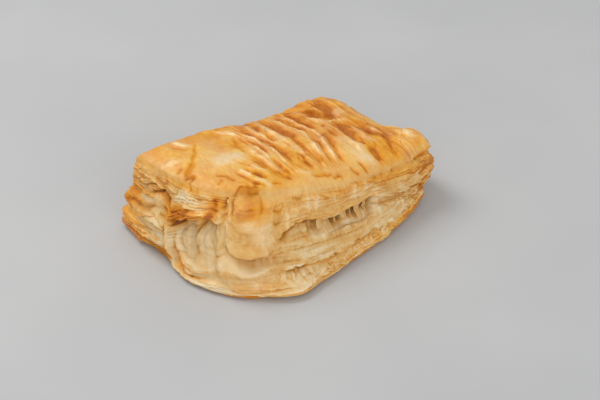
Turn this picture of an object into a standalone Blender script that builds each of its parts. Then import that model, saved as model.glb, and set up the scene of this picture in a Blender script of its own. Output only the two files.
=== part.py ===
"""A baked puff pastry for the toaster: one flat-bottomed, flaky piece of dough.

The solid starts as a cube whose faces are cut into a lattice. Each lattice point is then moved to
its place on the pastry by form(), which works in millimetres: a wedge that puffs up at its near end,
a base that spreads past the top, a mouth torn open along one long side, lobes and a hollow at the
near end, and pleats across the top. X runs along the length towards the thin end, -Y is the side
with the open mouth and Z is up.

Places round the sides are given as a lap from 0 to 4: 0 is the puffed corner beside the mouth, the
mouth runs from 0 to 1, the thin end from 1 to 2, the shut side from 2 to 3, and the thick end from
3 back to the puffed corner. Heights on the sides are given as a level, 0 at the base and 1 at the
top edge.
"""

import bmesh
import bpy
import numpy as np

MM = 0.001

# Lattice cells along the length, the width and the height.
CELLS_LONG = 76
CELLS_WIDE = 22
CELLS_HIGH = 18

# Plan of the base.
BASE_THICK_END = -54.0
BASE_THIN_END = 57.0
BASE_OPEN_SIDE = -37.8
BASE_OPEN_SIDE_TAPER = 10.0
BASE_SHUT_SIDE = 46.5

# Plan of the top edge.
TOP_THICK_END = -43.0
TOP_THICK_END_SKEW = 5.5
TOP_THIN_END = 53.5
THIN_END_EAR = 3.6
TOP_OPEN_SIDE = -18.0
TOP_OPEN_SIDE_SKEW = 4.0
TOP_SHUT_SIDE = 40.5

# Height of the top at its four corners, how far the middle crowns and the edge rolls over.
HEIGHT_THICK_OPEN = 38.5
HEIGHT_THICK_SHUT = 37.0
HEIGHT_THIN_OPEN = 25.5
HEIGHT_THIN_SHUT = 25.5
CROWN = 1.6
EDGE_ROLL = 3.6
EDGE_ROLL_AT_KNOB = 2.0

# How far each corner is drawn in, as a share of the half length and half width: 0 is square.
ROUND_THICK_OPEN = 0.25
ROUND_THICK_SHUT = 0.055
ROUND_THIN_OPEN = 0.05
ROUND_THIN_SHUT = 0.13

# Pleats across the top.
PLEAT_PITCH = 4.7
PLEAT_RISE = 1.4

# Rises and dips of the top, as (x, half length, y, half width, mm).
TOP_RISES = (
    (43.0, 11.0, 31.0, 11.0, 1.1), (56.0, 9.0, -12.5, 11.5, 4.6), (52.0, 7.0, 9.0, 9.0, -1.8),
    (53.0, 7.0, 21.0, 7.0, -1.6), (14.0, 18.0, 40.0, 16.0, -3.6),
)

# How far the top sags towards the mouth, and the crease that crosses it slantwise.
MOUTH_SAG = 1.6
CREASE_START_X = 28.0
CREASE_START_Y = 33.0
CREASE_SLANT = 0.42
CREASE_HALF_WIDTH = 2.2
CREASE_DEPTH = 1.5

# The rim of the base curls up this far.
RIM_LIFT = 1.2

# How far the side wanders, how far single layers stand out of it, and how uneven the top is.
SIDE_WANDER = 0.8
LAYER_STEP = 0.5
TOP_WANDER = 0.6

# Swellings (+) and hollows (-) of the sides, in mm.
LIP_OVER_MOUTH = 1.8
KNOB = 3.0
LOBE = 2.4
EAR_NOTCH = 2.4
EAR_UNDERCUT = 1.4
HOLLOW = 7.5
HOLLOW_RIB = 2.4
HOLLOW_START_LAP = 3.43
HOLLOW_END_LAP = 3.79
FOLD_OVER_HOLLOW = 1.8
KNOB_GROOVE = 1.6

# Rows of the lattice that follow the crevices, out of CELLS_HIGH.
SEAM_ROW = 4
UNDERCUT_ROW = 7
MOUTH_ROW = 10

# How far the foot of the sides stands out past the plain base, as (lap, mm).
FOOT = (
    (0.00, -1.0), (0.04, 0.0), (0.10, 1.7), (0.17, 3.2), (0.22, 2.2), (0.29, 0.4), (0.42, -0.6),
    (0.53, -2.2), (0.64, -1.1), (0.71, -0.4), (0.82, -1.2), (0.91, -0.3), (1.00, -1.4), (1.30, 0.0),
    (2.90, 0.6), (3.01, 1.3), (3.15, 1.0), (3.26, -2.2), (3.34, -3.2), (3.44, -0.6), (3.56, 0.8),
    (3.66, 0.3), (3.75, -0.3), (3.86, -1.3),
)

# Crevices round the sides, as (lap, level, depth in mm) along their length.
MOUTH = (
    (0.10, 0.58, 0.0), (0.16, 0.605, 1.4), (0.24, 0.635, 2.8), (0.34, 0.64, 6.0), (0.42, 0.645, 8.0),
    (0.50, 0.675, 8.5), (0.60, 0.70, 8.0), (0.66, 0.70, 5.5), (0.74, 0.65, 3.5), (0.82, 0.59, 1.6),
    (0.92, 0.52, 1.2), (1.10, 0.48, 1.2), (1.60, 0.50, 1.8), (2.00, 0.52, 1.2), (2.50, 0.60, 2.4),
    (2.90, 0.66, 1.4), (3.00, 0.66, 0.8), (3.06, 0.68, 1.6), (3.24, 0.72, 2.6), (3.34, 0.63, 1.2),
    (3.41, 0.50, 0.0), (3.45, 0.55, 0.0), (3.50, 0.62, 0.0), (3.60, 0.67, 0.0), (3.70, 0.735, 0.0),
    (3.80, 0.76, 0.0), (3.93, 0.63, 0.0),
)
UNDERCUT = (
    (0.00, 0.42, 3.2), (0.08, 0.415, 3.0), (0.15, 0.42, 1.6), (0.24, 0.41, 0.0), (0.60, 0.40, 0.0),
    (2.97, 0.33, 1.0), (3.01, 0.30, 3.4), (3.07, 0.31, 3.6), (3.30, 0.38, 1.2), (3.40, 0.34, 0.0),
    (3.78, 0.42, 0.0), (3.86, 0.49, 0.6), (3.93, 0.49, 2.6), (3.97, 0.44, 3.2),
)
SEAM = (
    (0.00, 0.21, 1.5), (0.12, 0.25, 2.8), (0.22, 0.25, 3.4), (0.32, 0.21, 3.0), (0.45, 0.17, 2.2),
    (0.56, 0.23, 2.8), (0.64, 0.24, 2.8), (0.72, 0.21, 2.2), (0.90, 0.20, 1.8), (1.20, 0.22, 1.6),
    (2.00, 0.22, 1.6), (2.50, 0.26, 2.4), (3.00, 0.16, 1.6), (3.30, 0.16, 1.4), (3.42, 0.12, 2.4),
    (3.70, 0.12, 3.0), (3.88, 0.18, 1.6),
)


def smooth(low, high, value):
    """Rise smoothly from 0 at low to 1 at high."""
    t = np.clip((value - low) / (high - low), 0.0, 1.0)
    return t * t * (3.0 - 2.0 * t)


def hump(value, centre, half_width):
    """A bell of height 1 round centre."""
    return np.exp(-(((value - centre) / half_width) ** 2))


def window(value, low, high, soft):
    """1 between low and high, falling to 0 over a soft edge on both sides."""
    return smooth(low - soft, low + soft, value) * (1.0 - smooth(high - soft, high + soft, value))


def scatter(ix, iy, iz, seed):
    """A repeatable random number from -1 to 1 for each cell of a grid."""
    n = (ix * 374761393 + iy * 668265263 + iz * 2147483647 + seed * 974634777) & 0xFFFFFFFF
    n = ((n ^ (n >> 13)) * 1274126177) & 0xFFFFFFFF
    n = n ^ (n >> 16)
    return (n & 0xFFFF) / 32767.5 - 1.0


def noise(x, y, z, seed):
    """Soft random waves one unit long, from -1 to 1."""
    fx, fy, fz = np.floor(x), np.floor(y), np.floor(z)
    ix, iy, iz = fx.astype(np.int64), fy.astype(np.int64), fz.astype(np.int64)
    tx, ty, tz = (t * t * (3.0 - 2.0 * t) for t in (x - fx, y - fy, z - fz))
    total = 0.0
    for dx in (0, 1):
        for dy in (0, 1):
            for dz in (0, 1):
                share = (tx if dx else 1 - tx) * (ty if dy else 1 - ty) * (tz if dz else 1 - tz)
                total = total + share * scatter(ix + dx, iy + dy, iz + dz, seed)
    return total


def at_corners(a, b, thick_open, thick_shut, thin_open, thin_shut):
    """Blend four corner values over the plan."""
    s, t = (a + 1.0) / 2.0, (b + 1.0) / 2.0
    open_side = thick_open * (1 - s) + thin_open * s
    shut_side = thick_shut * (1 - s) + thin_shut * s
    return open_side * (1 - t) + shut_side * t


def along(lap, knots, column):
    """A value read off a crevice's knots at each place round the sides."""
    places = [knot[0] for knot in knots]
    values = [knot[column] for knot in knots]
    return np.interp(lap, places, values, period=4.0)


def base_open_side(x):
    """Edge of the base along the mouth: widest near the thick end, drawn in at the thin end."""
    return BASE_OPEN_SIDE + BASE_OPEN_SIDE_TAPER * np.clip((x + 25.0) / 67.0, 0.0, 1.3) ** 1.7


def plan(a, b, level):
    """Place of a lattice point in plan."""
    draw = at_corners(a, b, ROUND_THICK_OPEN - 0.03 * (1 - level), ROUND_THICK_SHUT,
                      ROUND_THIN_OPEN + 0.07 * (1 - level), ROUND_THIN_SHUT)
    ra = a * (1.0 - draw * np.abs(b) ** 3)
    rb = b * (1.0 - draw * np.abs(a) ** 3)
    thick_top = TOP_THICK_END - TOP_THICK_END_SKEW * b
    thick = BASE_THICK_END + (thick_top - BASE_THICK_END) * level**2.2
    thin = BASE_THIN_END + 2.5 * hump(level, 0.45, 0.25) + (TOP_THIN_END - BASE_THIN_END) * level**2.5
    thin = thin + THIN_END_EAR * hump(b, -0.85, 0.42) * smooth(0.1, 0.5, level)
    x = thick + (thin - thick) * (ra + 1.0) / 2.0
    lean = np.interp(level, (0.0, 0.12, 0.25, 0.42, 0.6, 0.8, 0.94, 1.0),
                     (0.0, 0.0, 0.08, 0.30, 0.50, 0.68, 0.86, 1.0))
    base = base_open_side(x)
    top = TOP_OPEN_SIDE - TOP_OPEN_SIDE_SKEW * smooth(-30.0, 20.0, x)
    open_side = base + (top - base) * lean
    shut_side = BASE_SHUT_SIDE + (TOP_SHUT_SIDE - BASE_SHUT_SIDE) * level**1.4
    y = open_side + (shut_side - open_side) * (rb + 1.0) / 2.0
    return x, y


def lap_of(a, b):
    """How far round the sides a lattice point is, from 0 to 4."""
    lap = np.where(b <= -0.9999, (a + 1.0) / 2.0, 0.0)
    lap = np.where((a >= 0.9999) & (b > -0.9999), 1.0 + (b + 1.0) / 2.0, lap)
    lap = np.where((b >= 0.9999) & (a < 0.9999), 2.0 + (1.0 - a) / 2.0, lap)
    lap = np.where((a <= -0.9999) & (b < 0.9999), 3.0 + (1.0 - b) / 2.0, lap)
    return np.mod(lap, 4.0)


def level_of(lap, row):
    """Height of a lattice row as a level: the rows bend to follow the crevices."""
    rows = (0.0, SEAM_ROW, UNDERCUT_ROW, MOUTH_ROW, CELLS_HIGH)
    levels = (0.0, along(lap, SEAM, 1), along(lap, UNDERCUT, 1), along(lap, MOUTH, 1), 1.0)
    level = np.ones_like(row)
    for low, high, start, stop in zip(rows, rows[1:], levels, levels[1:]):
        share = np.clip((row - low) / (high - low), 0.0, 1.0)
        level = np.where(row >= low, start + (stop - start) * share, level)
    return level


def crevice(lap, row, knots, line, above, below):
    """Depth of a crevice: sharp over its row and fading below it."""
    rise = row - line
    shape = np.where(rise > 0, np.exp(-((rise / above) ** 2)), np.exp(-((rise / below) ** 2)))
    return along(lap, knots, 2) * shape


def side_swell(lap, row, level):
    """How far the sides stand out (+) or in (-) from their plain lean, in mm."""
    gape = 1.2 + 1.8 * hump(lap, 0.58, 0.16)
    swell = -crevice(lap, row, MOUTH, MOUTH_ROW, 0.6, gape)
    swell = swell - crevice(lap, row, UNDERCUT, UNDERCUT_ROW, 0.7, 1.0)
    swell = swell - crevice(lap, row, SEAM, SEAM_ROW, 0.7, 0.8)
    swell = swell + LIP_OVER_MOUTH * hump(lap, 0.54, 0.24) * hump(row, MOUTH_ROW + 1.6, 1.3)
    # Flake of the thin end's ear, which overhangs the layers below it.
    ear = EAR_NOTCH * hump(level, 0.68, 0.06) + EAR_UNDERCUT * hump(level, 0.33, 0.12)
    swell = swell - hump(lap, 1.0, 0.08) * ear
    # Rolled knob at the puffed corner.
    from_corner = np.minimum(lap, 4.0 - lap)
    swell = swell + KNOB * hump(from_corner, 0.0, 0.085) * window(level, 0.45, 0.93, 0.06)
    # Hollow at the thick end, under a fold that climbs towards the knob, with a rib up its middle.
    hollow = smooth(SEAM_ROW - 1.0, SEAM_ROW + 2.5, row) * (1 - smooth(MOUTH_ROW, MOUTH_ROW + 0.8, row))
    hollow = hollow * window(lap, HOLLOW_START_LAP, HOLLOW_END_LAP, 0.05)
    swell = swell - hollow * (HOLLOW - HOLLOW_RIB * hump(lap, 3.63, 0.03))
    swell = swell + FOLD_OVER_HOLLOW * window(lap, 3.40, 3.84, 0.04) * hump(row, MOUTH_ROW + 1.6, 1.0)
    swell = swell - KNOB_GROOVE * hump(lap, 3.855, 0.02) * window(row, UNDERCUT_ROW, 16.0, 1.0)
    # Three lobes beside it.
    puff = hump(level, 0.22, 0.09) + hump(level, 0.44, 0.08) + 0.5 * hump(level, 0.85, 0.1)
    swell = swell + LOBE * window(lap, 2.97, 3.38, 0.06) * puff
    turn = np.sin(lap * np.pi / 2.0)
    swell = swell + SIDE_WANDER * noise(from_corner * 5.3, level * 3.1, turn, 21)
    return swell + LAYER_STEP * noise(from_corner * 9.0, row * 0.97, turn, 31)


def top_height(a, b, x, y):
    """Height of the top without its pleats."""
    h = at_corners(a, b, HEIGHT_THICK_OPEN, HEIGHT_THICK_SHUT, HEIGHT_THIN_OPEN, HEIGHT_THIN_SHUT)
    h = h + CROWN * (1 - a * a) * (1 - b * b)
    for centre_x, half_length, centre_y, half_width, rise in TOP_RISES:
        h = h + rise * hump(x, centre_x, half_length) * hump(y, centre_y, half_width)
    h = h - MOUTH_SAG * hump(x, 16.0, 24.0) * smooth(4.0, -22.0, y)
    crease = (x - CREASE_START_X) - (CREASE_START_Y - y) * CREASE_SLANT
    h = h - CREASE_DEPTH * hump(crease, 0.0, CREASE_HALF_WIDTH) * window(y, 6.0, 38.0, 4.0)
    return h + TOP_WANDER * noise(x / 17.0, y / 13.0, x * 0.0, 5)


def pleats(x, y):
    """Height of the pleats that cross the top, which bend and fade as they go."""
    bend = 2.4 * noise(x / 26.0, y / 19.0, x * 0.0, 3) + 1.6 * np.sin((y + 4.0) / 15.0)
    phase = (x + bend) / PLEAT_PITCH
    place = phase - np.floor(phase)
    crest = np.where(place < 0.7, place / 0.7, (1.0 - place) / 0.3)
    strength = 0.55 + 0.45 * noise(np.floor(phase) * 0.77, y / 16.0, x * 0.0, 9)
    return PLEAT_RISE * crest * strength * smooth(-40.0, -14.0, x + 0.35 * y)


def form(a, b, c):
    """Place of each lattice point of the pastry, in millimetres."""
    on_top = c > 0.9999
    on_base = c < -0.9999
    edge = np.maximum(np.abs(a), np.abs(b))
    on_side = (edge > 0.9999) & ~on_top & ~on_base
    lap = lap_of(a / np.maximum(edge, 1e-9), b / np.maximum(edge, 1e-9))
    row = CELLS_HIGH * (c + 1.0) / 2.0
    level = np.where(on_side, level_of(lap, row), (c + 1.0) / 2.0)
    x, y = plan(a, b, level)
    knob = smooth(0.4, 1.0, -a) * smooth(0.4, 1.0, -b)
    h = top_height(a, b, x, y) - (EDGE_ROLL + EDGE_ROLL_AT_KNOB * knob) * edge**9
    z = np.where(on_top, h + pleats(x, y) * (1.0 - edge**10), level * h)
    z = np.where(on_base, RIM_LIFT * smooth(0.90, 1.0, edge), z)
    foot = along(lap, FOOT, 1) * edge**6 * (1.0 - smooth(0.05, 0.34, level))
    swell = np.where(on_side, side_swell(lap, row, level), 0.0) + np.where(on_top, 0.0, foot)
    out_x, out_y = np.sign(a) * np.abs(a) ** 8, np.sign(b) * np.abs(b) ** 8
    reach = np.sqrt(out_x**2 + out_y**2) + 1e-9
    return x + swell * out_x / reach, y + swell * out_y / reach, z


def lattice():
    """A cube from -1 to 1 whose faces are cut into cells."""
    bm = bmesh.new()
    bmesh.ops.create_cube(bm, size=2.0)
    for axis, cells in enumerate((CELLS_LONG, CELLS_WIDE, CELLS_HIGH)):
        edges = []
        for edge in bm.edges:
            run = edge.verts[1].co - edge.verts[0].co
            if abs(run[axis]) > 1.0:
                edges.append(edge)
        bmesh.ops.subdivide_edges(bm, edges=edges, cuts=cells - 1, use_grid_fill=True)
    return bm


def flatten_underside(bm):
    """Make the flat middle of the underside one face."""
    flat = []
    for face in bm.faces:
        if all(vert.co.z < 1e-7 for vert in face.verts):
            flat.append(face)
    bmesh.ops.dissolve_faces(bm, faces=flat, use_verts=True)


def bake_pastry():
    """Shape the lattice into the pastry, centred on its base."""
    bm = lattice()
    points = np.array([vert.co for vert in bm.verts], dtype=float)
    x, y, z = form(points[:, 0], points[:, 1], points[:, 2])
    x = x - (x.min() + x.max()) / 2.0
    y = y - (y.min() + y.max()) / 2.0
    for vert, place in zip(bm.verts, np.stack((x, y, z), axis=1) * MM):
        vert.co = place
    flatten_underside(bm)
    bmesh.ops.triangulate(bm, faces=bm.faces[:])
    bmesh.ops.recalc_face_normals(bm, faces=bm.faces[:])
    mesh = bpy.data.meshes.new("pastry")
    bm.to_mesh(mesh)
    bm.free()
    mesh.shade_smooth()
    return bpy.data.objects.new("pastry", mesh)


def baked_crust():
    """Glazed, baked flaky dough."""
    material = bpy.data.materials.new("baked_crust")
    material.use_nodes = True
    shader = material.node_tree.nodes["Principled BSDF"]
    shader.inputs["Base Color"].default_value = (0.665, 0.375, 0.130, 1.0)
    shader.inputs["Roughness"].default_value = 0.42
    shader.inputs["Metallic"].default_value = 0.0
    return material


def main():
    for leftover in list(bpy.data.objects):
        bpy.data.objects.remove(leftover, do_unlink=True)
    collection = bpy.data.collections.new("toaster_pastry")
    bpy.context.scene.collection.children.link(collection)
    pastry = bake_pastry()
    pastry.data.materials.append(baked_crust())
    collection.objects.link(pastry)


if __name__ == "__main__":
    main()
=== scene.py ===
import math

import bpy
import numpy as np
from bpy.props import FloatProperty, FloatVectorProperty, IntProperty, PointerProperty
from mathutils import Matrix, Vector


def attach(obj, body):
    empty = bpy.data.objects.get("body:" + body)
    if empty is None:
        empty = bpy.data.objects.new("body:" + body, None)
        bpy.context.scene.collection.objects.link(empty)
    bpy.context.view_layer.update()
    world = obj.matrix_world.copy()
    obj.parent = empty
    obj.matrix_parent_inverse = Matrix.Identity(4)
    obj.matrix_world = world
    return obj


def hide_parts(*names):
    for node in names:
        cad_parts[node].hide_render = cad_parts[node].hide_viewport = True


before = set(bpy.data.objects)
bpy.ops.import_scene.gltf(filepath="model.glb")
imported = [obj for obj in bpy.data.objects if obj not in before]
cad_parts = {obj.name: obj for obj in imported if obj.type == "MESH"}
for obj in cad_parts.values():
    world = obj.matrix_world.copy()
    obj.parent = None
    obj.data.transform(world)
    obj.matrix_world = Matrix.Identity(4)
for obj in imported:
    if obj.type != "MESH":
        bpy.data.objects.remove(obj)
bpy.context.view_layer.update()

bl_info = {
    "name": "Toaster Pastry",
    "version": (1, 0, 0),
    "blender": (4, 5, 0),
    "location": "View3D > Sidebar > Pastry",
    "description": "Dresses a puff pastry with flaky layers, pleats, torn dough and sugar glaze",
    "category": "Mesh",
}

MM = 0.001
BODY = "root"
NODE = "pastry"

# ---------------------------------------------------------------------------------------------
# The pastry's own form, in millimetres, as its solid has it. A lap runs round the sides from 0 to
# 4: 0 is the puffed corner beside the mouth, the mouth runs from 0 to 1, the thin end from 1 to 2,
# the shut side from 2 to 3 and the thick end from 3 back to 0. A level is 0 at the base and 1 at
# the top edge. A row counts the solid's own rows of faces up the side.
# ---------------------------------------------------------------------------------------------

# Lattice cells along the length, the width and the height.
CELLS_LONG = 76
CELLS_WIDE = 22
CELLS_HIGH = 18

# Plan of the base.
BASE_THICK_END = -54.0
BASE_THIN_END = 57.0
BASE_OPEN_SIDE = -37.8
BASE_OPEN_SIDE_TAPER = 10.0
BASE_SHUT_SIDE = 46.5

# Plan of the top edge.
TOP_THICK_END = -43.0
TOP_THICK_END_SKEW = 5.5
TOP_THIN_END = 53.5
THIN_END_EAR = 3.6
TOP_OPEN_SIDE = -18.0
TOP_OPEN_SIDE_SKEW = 4.0
TOP_SHUT_SIDE = 40.5

# How far the open side has leaned in on its way up, as (level, share).
LEAN = (
    (0.0, 0.0), (0.12, 0.0), (0.25, 0.08), (0.42, 0.30), (0.6, 0.50), (0.8, 0.68), (0.94, 0.86), (1.0, 1.0),
)

# Height of the top at its four corners, and how far its middle crowns and its edge rolls over.
HEIGHT_THICK_OPEN = 38.5
HEIGHT_THICK_SHUT = 37.0
HEIGHT_THIN_OPEN = 25.5
HEIGHT_THIN_SHUT = 25.5
CROWN = 1.6
EDGE_ROLL = 3.6
EDGE_ROLL_AT_KNOB = 2.0

# How far each corner is drawn in, as a share of the half length and half width: 0 is square.
ROUND_THICK_OPEN = 0.25
ROUND_THICK_SHUT = 0.055
ROUND_THIN_OPEN = 0.05
ROUND_THIN_SHUT = 0.13

# Rises and dips of the top, as (x, half length, y, half width, mm).
TOP_RISES = (
    (43, 11, 31, 11, 1.1), (56, 9, -12.5, 11.5, 4.6), (52, 7, 9, 9, -1.8), (53, 7, 21, 7, -1.6),
    (14, 18, 40, 16, -3.6),
)

# How far the top sags towards the mouth, and the crease that crosses it slantwise.
MOUTH_SAG = 1.6
CREASE_START_X = 28.0
CREASE_START_Y = 33.0
CREASE_SLANT = 0.42
CREASE_HALF_WIDTH = 2.2
CREASE_DEPTH = 1.5

# The rim of the base curls up this far.
RIM_LIFT = 1.2

# How far the side wanders, how far single layers stand out of it, and how uneven the top is.
SIDE_WANDER = 0.8
LAYER_STEP = 0.5
TOP_WANDER = 0.6

# Swellings (+) and hollows (-) of the sides, in mm.
LIP_OVER_MOUTH = 1.8
KNOB = 3.0
LOBE = 2.4
EAR_NOTCH = 2.4
EAR_UNDERCUT = 1.4
HOLLOW = 7.5
HOLLOW_RIB = 2.4
HOLLOW_START_LAP = 3.43
HOLLOW_END_LAP = 3.79
FOLD_OVER_HOLLOW = 1.8
KNOB_GROOVE = 1.6

# Where the mouth gapes widest, as (lap, half lap).
MOUTH_GAPE = (0.58, 0.16)

# Rows of the lattice that follow the crevices, counted from the base.
SEAM_ROW = 4
UNDERCUT_ROW = 7
MOUTH_ROW = 10

# How far the foot of the sides stands out past the plain base, as (lap, mm).
FOOT = (
    (0.00, -1.0), (0.04, 0.0), (0.10, 1.7), (0.17, 3.2), (0.22, 2.2), (0.29, 0.4), (0.42, -0.6),
    (0.53, -2.2), (0.64, -1.1), (0.71, -0.4), (0.82, -1.2), (0.91, -0.3), (1.00, -1.4), (1.30, 0.0),
    (2.90, 0.6), (3.01, 1.3), (3.15, 1.0), (3.26, -2.2), (3.34, -3.2), (3.44, -0.6), (3.56, 0.8),
    (3.66, 0.3), (3.75, -0.3), (3.86, -1.3),
)

# Crevices round the sides, as (lap, level, depth in mm) along their length.
MOUTH = (
    (0.10, 0.58, 0.0), (0.16, 0.605, 1.4), (0.24, 0.635, 2.8), (0.34, 0.64, 6.0), (0.42, 0.645, 8.0),
    (0.50, 0.675, 8.5), (0.60, 0.70, 8.0), (0.66, 0.70, 5.5), (0.74, 0.65, 3.5), (0.82, 0.59, 1.6),
    (0.92, 0.52, 1.2), (1.10, 0.48, 1.2), (1.60, 0.50, 1.8), (2.00, 0.52, 1.2), (2.50, 0.60, 2.4),
    (2.90, 0.66, 1.4), (3.00, 0.66, 0.8), (3.06, 0.68, 1.6), (3.24, 0.72, 2.6), (3.34, 0.63, 1.2),
    (3.41, 0.50, 0.0), (3.45, 0.55, 0.0), (3.50, 0.62, 0.0), (3.60, 0.67, 0.0), (3.70, 0.735, 0.0),
    (3.80, 0.76, 0.0), (3.93, 0.63, 0.0),
)
UNDERCUT = (
    (0.00, 0.42, 3.2), (0.08, 0.415, 3.0), (0.15, 0.42, 1.6), (0.24, 0.41, 0.0), (0.60, 0.40, 0.0),
    (2.97, 0.33, 1.0), (3.01, 0.30, 3.4), (3.07, 0.31, 3.6), (3.30, 0.38, 1.2), (3.40, 0.34, 0.0),
    (3.78, 0.42, 0.0), (3.86, 0.49, 0.6), (3.93, 0.49, 2.6), (3.97, 0.44, 3.2),
)
SEAM = (
    (0.00, 0.21, 1.5), (0.12, 0.25, 2.8), (0.22, 0.25, 3.4), (0.32, 0.21, 3.0), (0.45, 0.17, 2.2),
    (0.56, 0.23, 2.8), (0.64, 0.24, 2.8), (0.72, 0.21, 2.2), (0.90, 0.20, 1.8), (1.20, 0.22, 1.6),
    (2.00, 0.22, 1.6), (2.50, 0.26, 2.4), (3.00, 0.16, 1.6), (3.30, 0.16, 1.4), (3.42, 0.12, 2.4),
    (3.70, 0.12, 3.0), (3.88, 0.18, 1.6),
)


def smooth(low, high, value):
    """Rise smoothly from 0 at low to 1 at high."""
    t = np.clip((value - low) / (high - low), 0.0, 1.0)
    return t * t * (3.0 - 2.0 * t)


def hump(value, centre, half_width):
    """A bell of height 1 round centre."""
    return np.exp(-(((value - centre) / half_width) ** 2))


def window(value, low, high, soft):
    """1 between low and high, falling to 0 over a soft edge on both sides."""
    return smooth(low - soft, low + soft, value) * (1.0 - smooth(high - soft, high + soft, value))


def scatter(ix, iy, iz, seed):
    """A repeatable random number from -1 to 1 for each cell of a grid."""
    n = (ix * 374761393 + iy * 668265263 + iz * 2147483647 + seed * 974634777) & 0xFFFFFFFF
    n = ((n ^ (n >> 13)) * 1274126177) & 0xFFFFFFFF
    n = n ^ (n >> 16)
    return (n & 0xFFFF) / 32767.5 - 1.0


def noise(x, y, z, seed):
    """Soft random waves one unit long, from -1 to 1."""
    fx, fy, fz = np.floor(x), np.floor(y), np.floor(z)
    ix, iy, iz = fx.astype(np.int64), fy.astype(np.int64), fz.astype(np.int64)
    tx, ty, tz = (t * t * (3.0 - 2.0 * t) for t in (x - fx, y - fy, z - fz))
    total = 0.0
    for dx in (0, 1):
        for dy in (0, 1):
            for dz in (0, 1):
                share = (tx if dx else 1 - tx) * (ty if dy else 1 - ty) * (tz if dz else 1 - tz)
                total = total + share * scatter(ix + dx, iy + dy, iz + dz, seed)
    return total


def at_corners(a, b, thick_open, thick_shut, thin_open, thin_shut):
    """Blend four corner values over the plan."""
    s, t = (a + 1.0) / 2.0, (b + 1.0) / 2.0
    open_side = thick_open * (1 - s) + thin_open * s
    shut_side = thick_shut * (1 - s) + thin_shut * s
    return open_side * (1 - t) + shut_side * t


def along(lap, knots, column):
    """A value read off a crevice's knots at each place round the sides."""
    places = [knot[0] for knot in knots]
    values = [knot[column] for knot in knots]
    return np.interp(lap, places, values, period=4.0)


def base_open_side(x):
    """Edge of the base along the mouth: widest near the thick end, drawn in at the thin end."""
    return BASE_OPEN_SIDE + BASE_OPEN_SIDE_TAPER * np.clip((x + 25.0) / 67.0, 0.0, 1.3) ** 1.7


def plan(a, b, level):
    """Place of a lattice point in plan."""
    draw = at_corners(a, b, ROUND_THICK_OPEN - 0.03 * (1 - level), ROUND_THICK_SHUT,
                      ROUND_THIN_OPEN + 0.07 * (1 - level), ROUND_THIN_SHUT)
    ra = a * (1.0 - draw * np.abs(b) ** 3)
    rb = b * (1.0 - draw * np.abs(a) ** 3)
    thick_top = TOP_THICK_END - TOP_THICK_END_SKEW * b
    thick = BASE_THICK_END + (thick_top - BASE_THICK_END) * level**2.2
    thin = BASE_THIN_END + 2.5 * hump(level, 0.45, 0.25) + (TOP_THIN_END - BASE_THIN_END) * level**2.5
    thin = thin + THIN_END_EAR * hump(b, -0.85, 0.42) * smooth(0.1, 0.5, level)
    x = thick + (thin - thick) * (ra + 1.0) / 2.0
    base = base_open_side(x)
    top = TOP_OPEN_SIDE - TOP_OPEN_SIDE_SKEW * smooth(-30.0, 20.0, x)
    open_side = base + (top - base) * np.interp(level, *zip(*LEAN))
    shut_side = BASE_SHUT_SIDE + (TOP_SHUT_SIDE - BASE_SHUT_SIDE) * level**1.4
    y = open_side + (shut_side - open_side) * (rb + 1.0) / 2.0
    return x, y


def level_of(lap, row):
    """Height of a lattice row as a level: the rows bend to follow the crevices."""
    rows = (0.0, SEAM_ROW, UNDERCUT_ROW, MOUTH_ROW, CELLS_HIGH)
    levels = (0.0, along(lap, SEAM, 1), along(lap, UNDERCUT, 1), along(lap, MOUTH, 1), 1.0)
    level = np.ones_like(row)
    for low, high, start, stop in zip(rows, rows[1:], levels, levels[1:]):
        share = np.clip((row - low) / (high - low), 0.0, 1.0)
        level = np.where(row >= low, start + (stop - start) * share, level)
    return level


def crevice(lap, row, knots, line, above, below):
    """Depth of a crevice: sharp over its row and fading below it."""
    rise = row - line
    shape = np.where(rise > 0, np.exp(-((rise / above) ** 2)), np.exp(-((rise / below) ** 2)))
    return along(lap, knots, 2) * shape


def in_hollow(lap, row):
    """1 inside the hollow of the thick end, falling to 0 round it."""
    inside = smooth(SEAM_ROW - 1.0, SEAM_ROW + 2.5, row) * (1 - smooth(MOUTH_ROW, MOUTH_ROW + 0.8, row))
    return inside * window(lap, HOLLOW_START_LAP, HOLLOW_END_LAP, 0.05)


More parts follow.
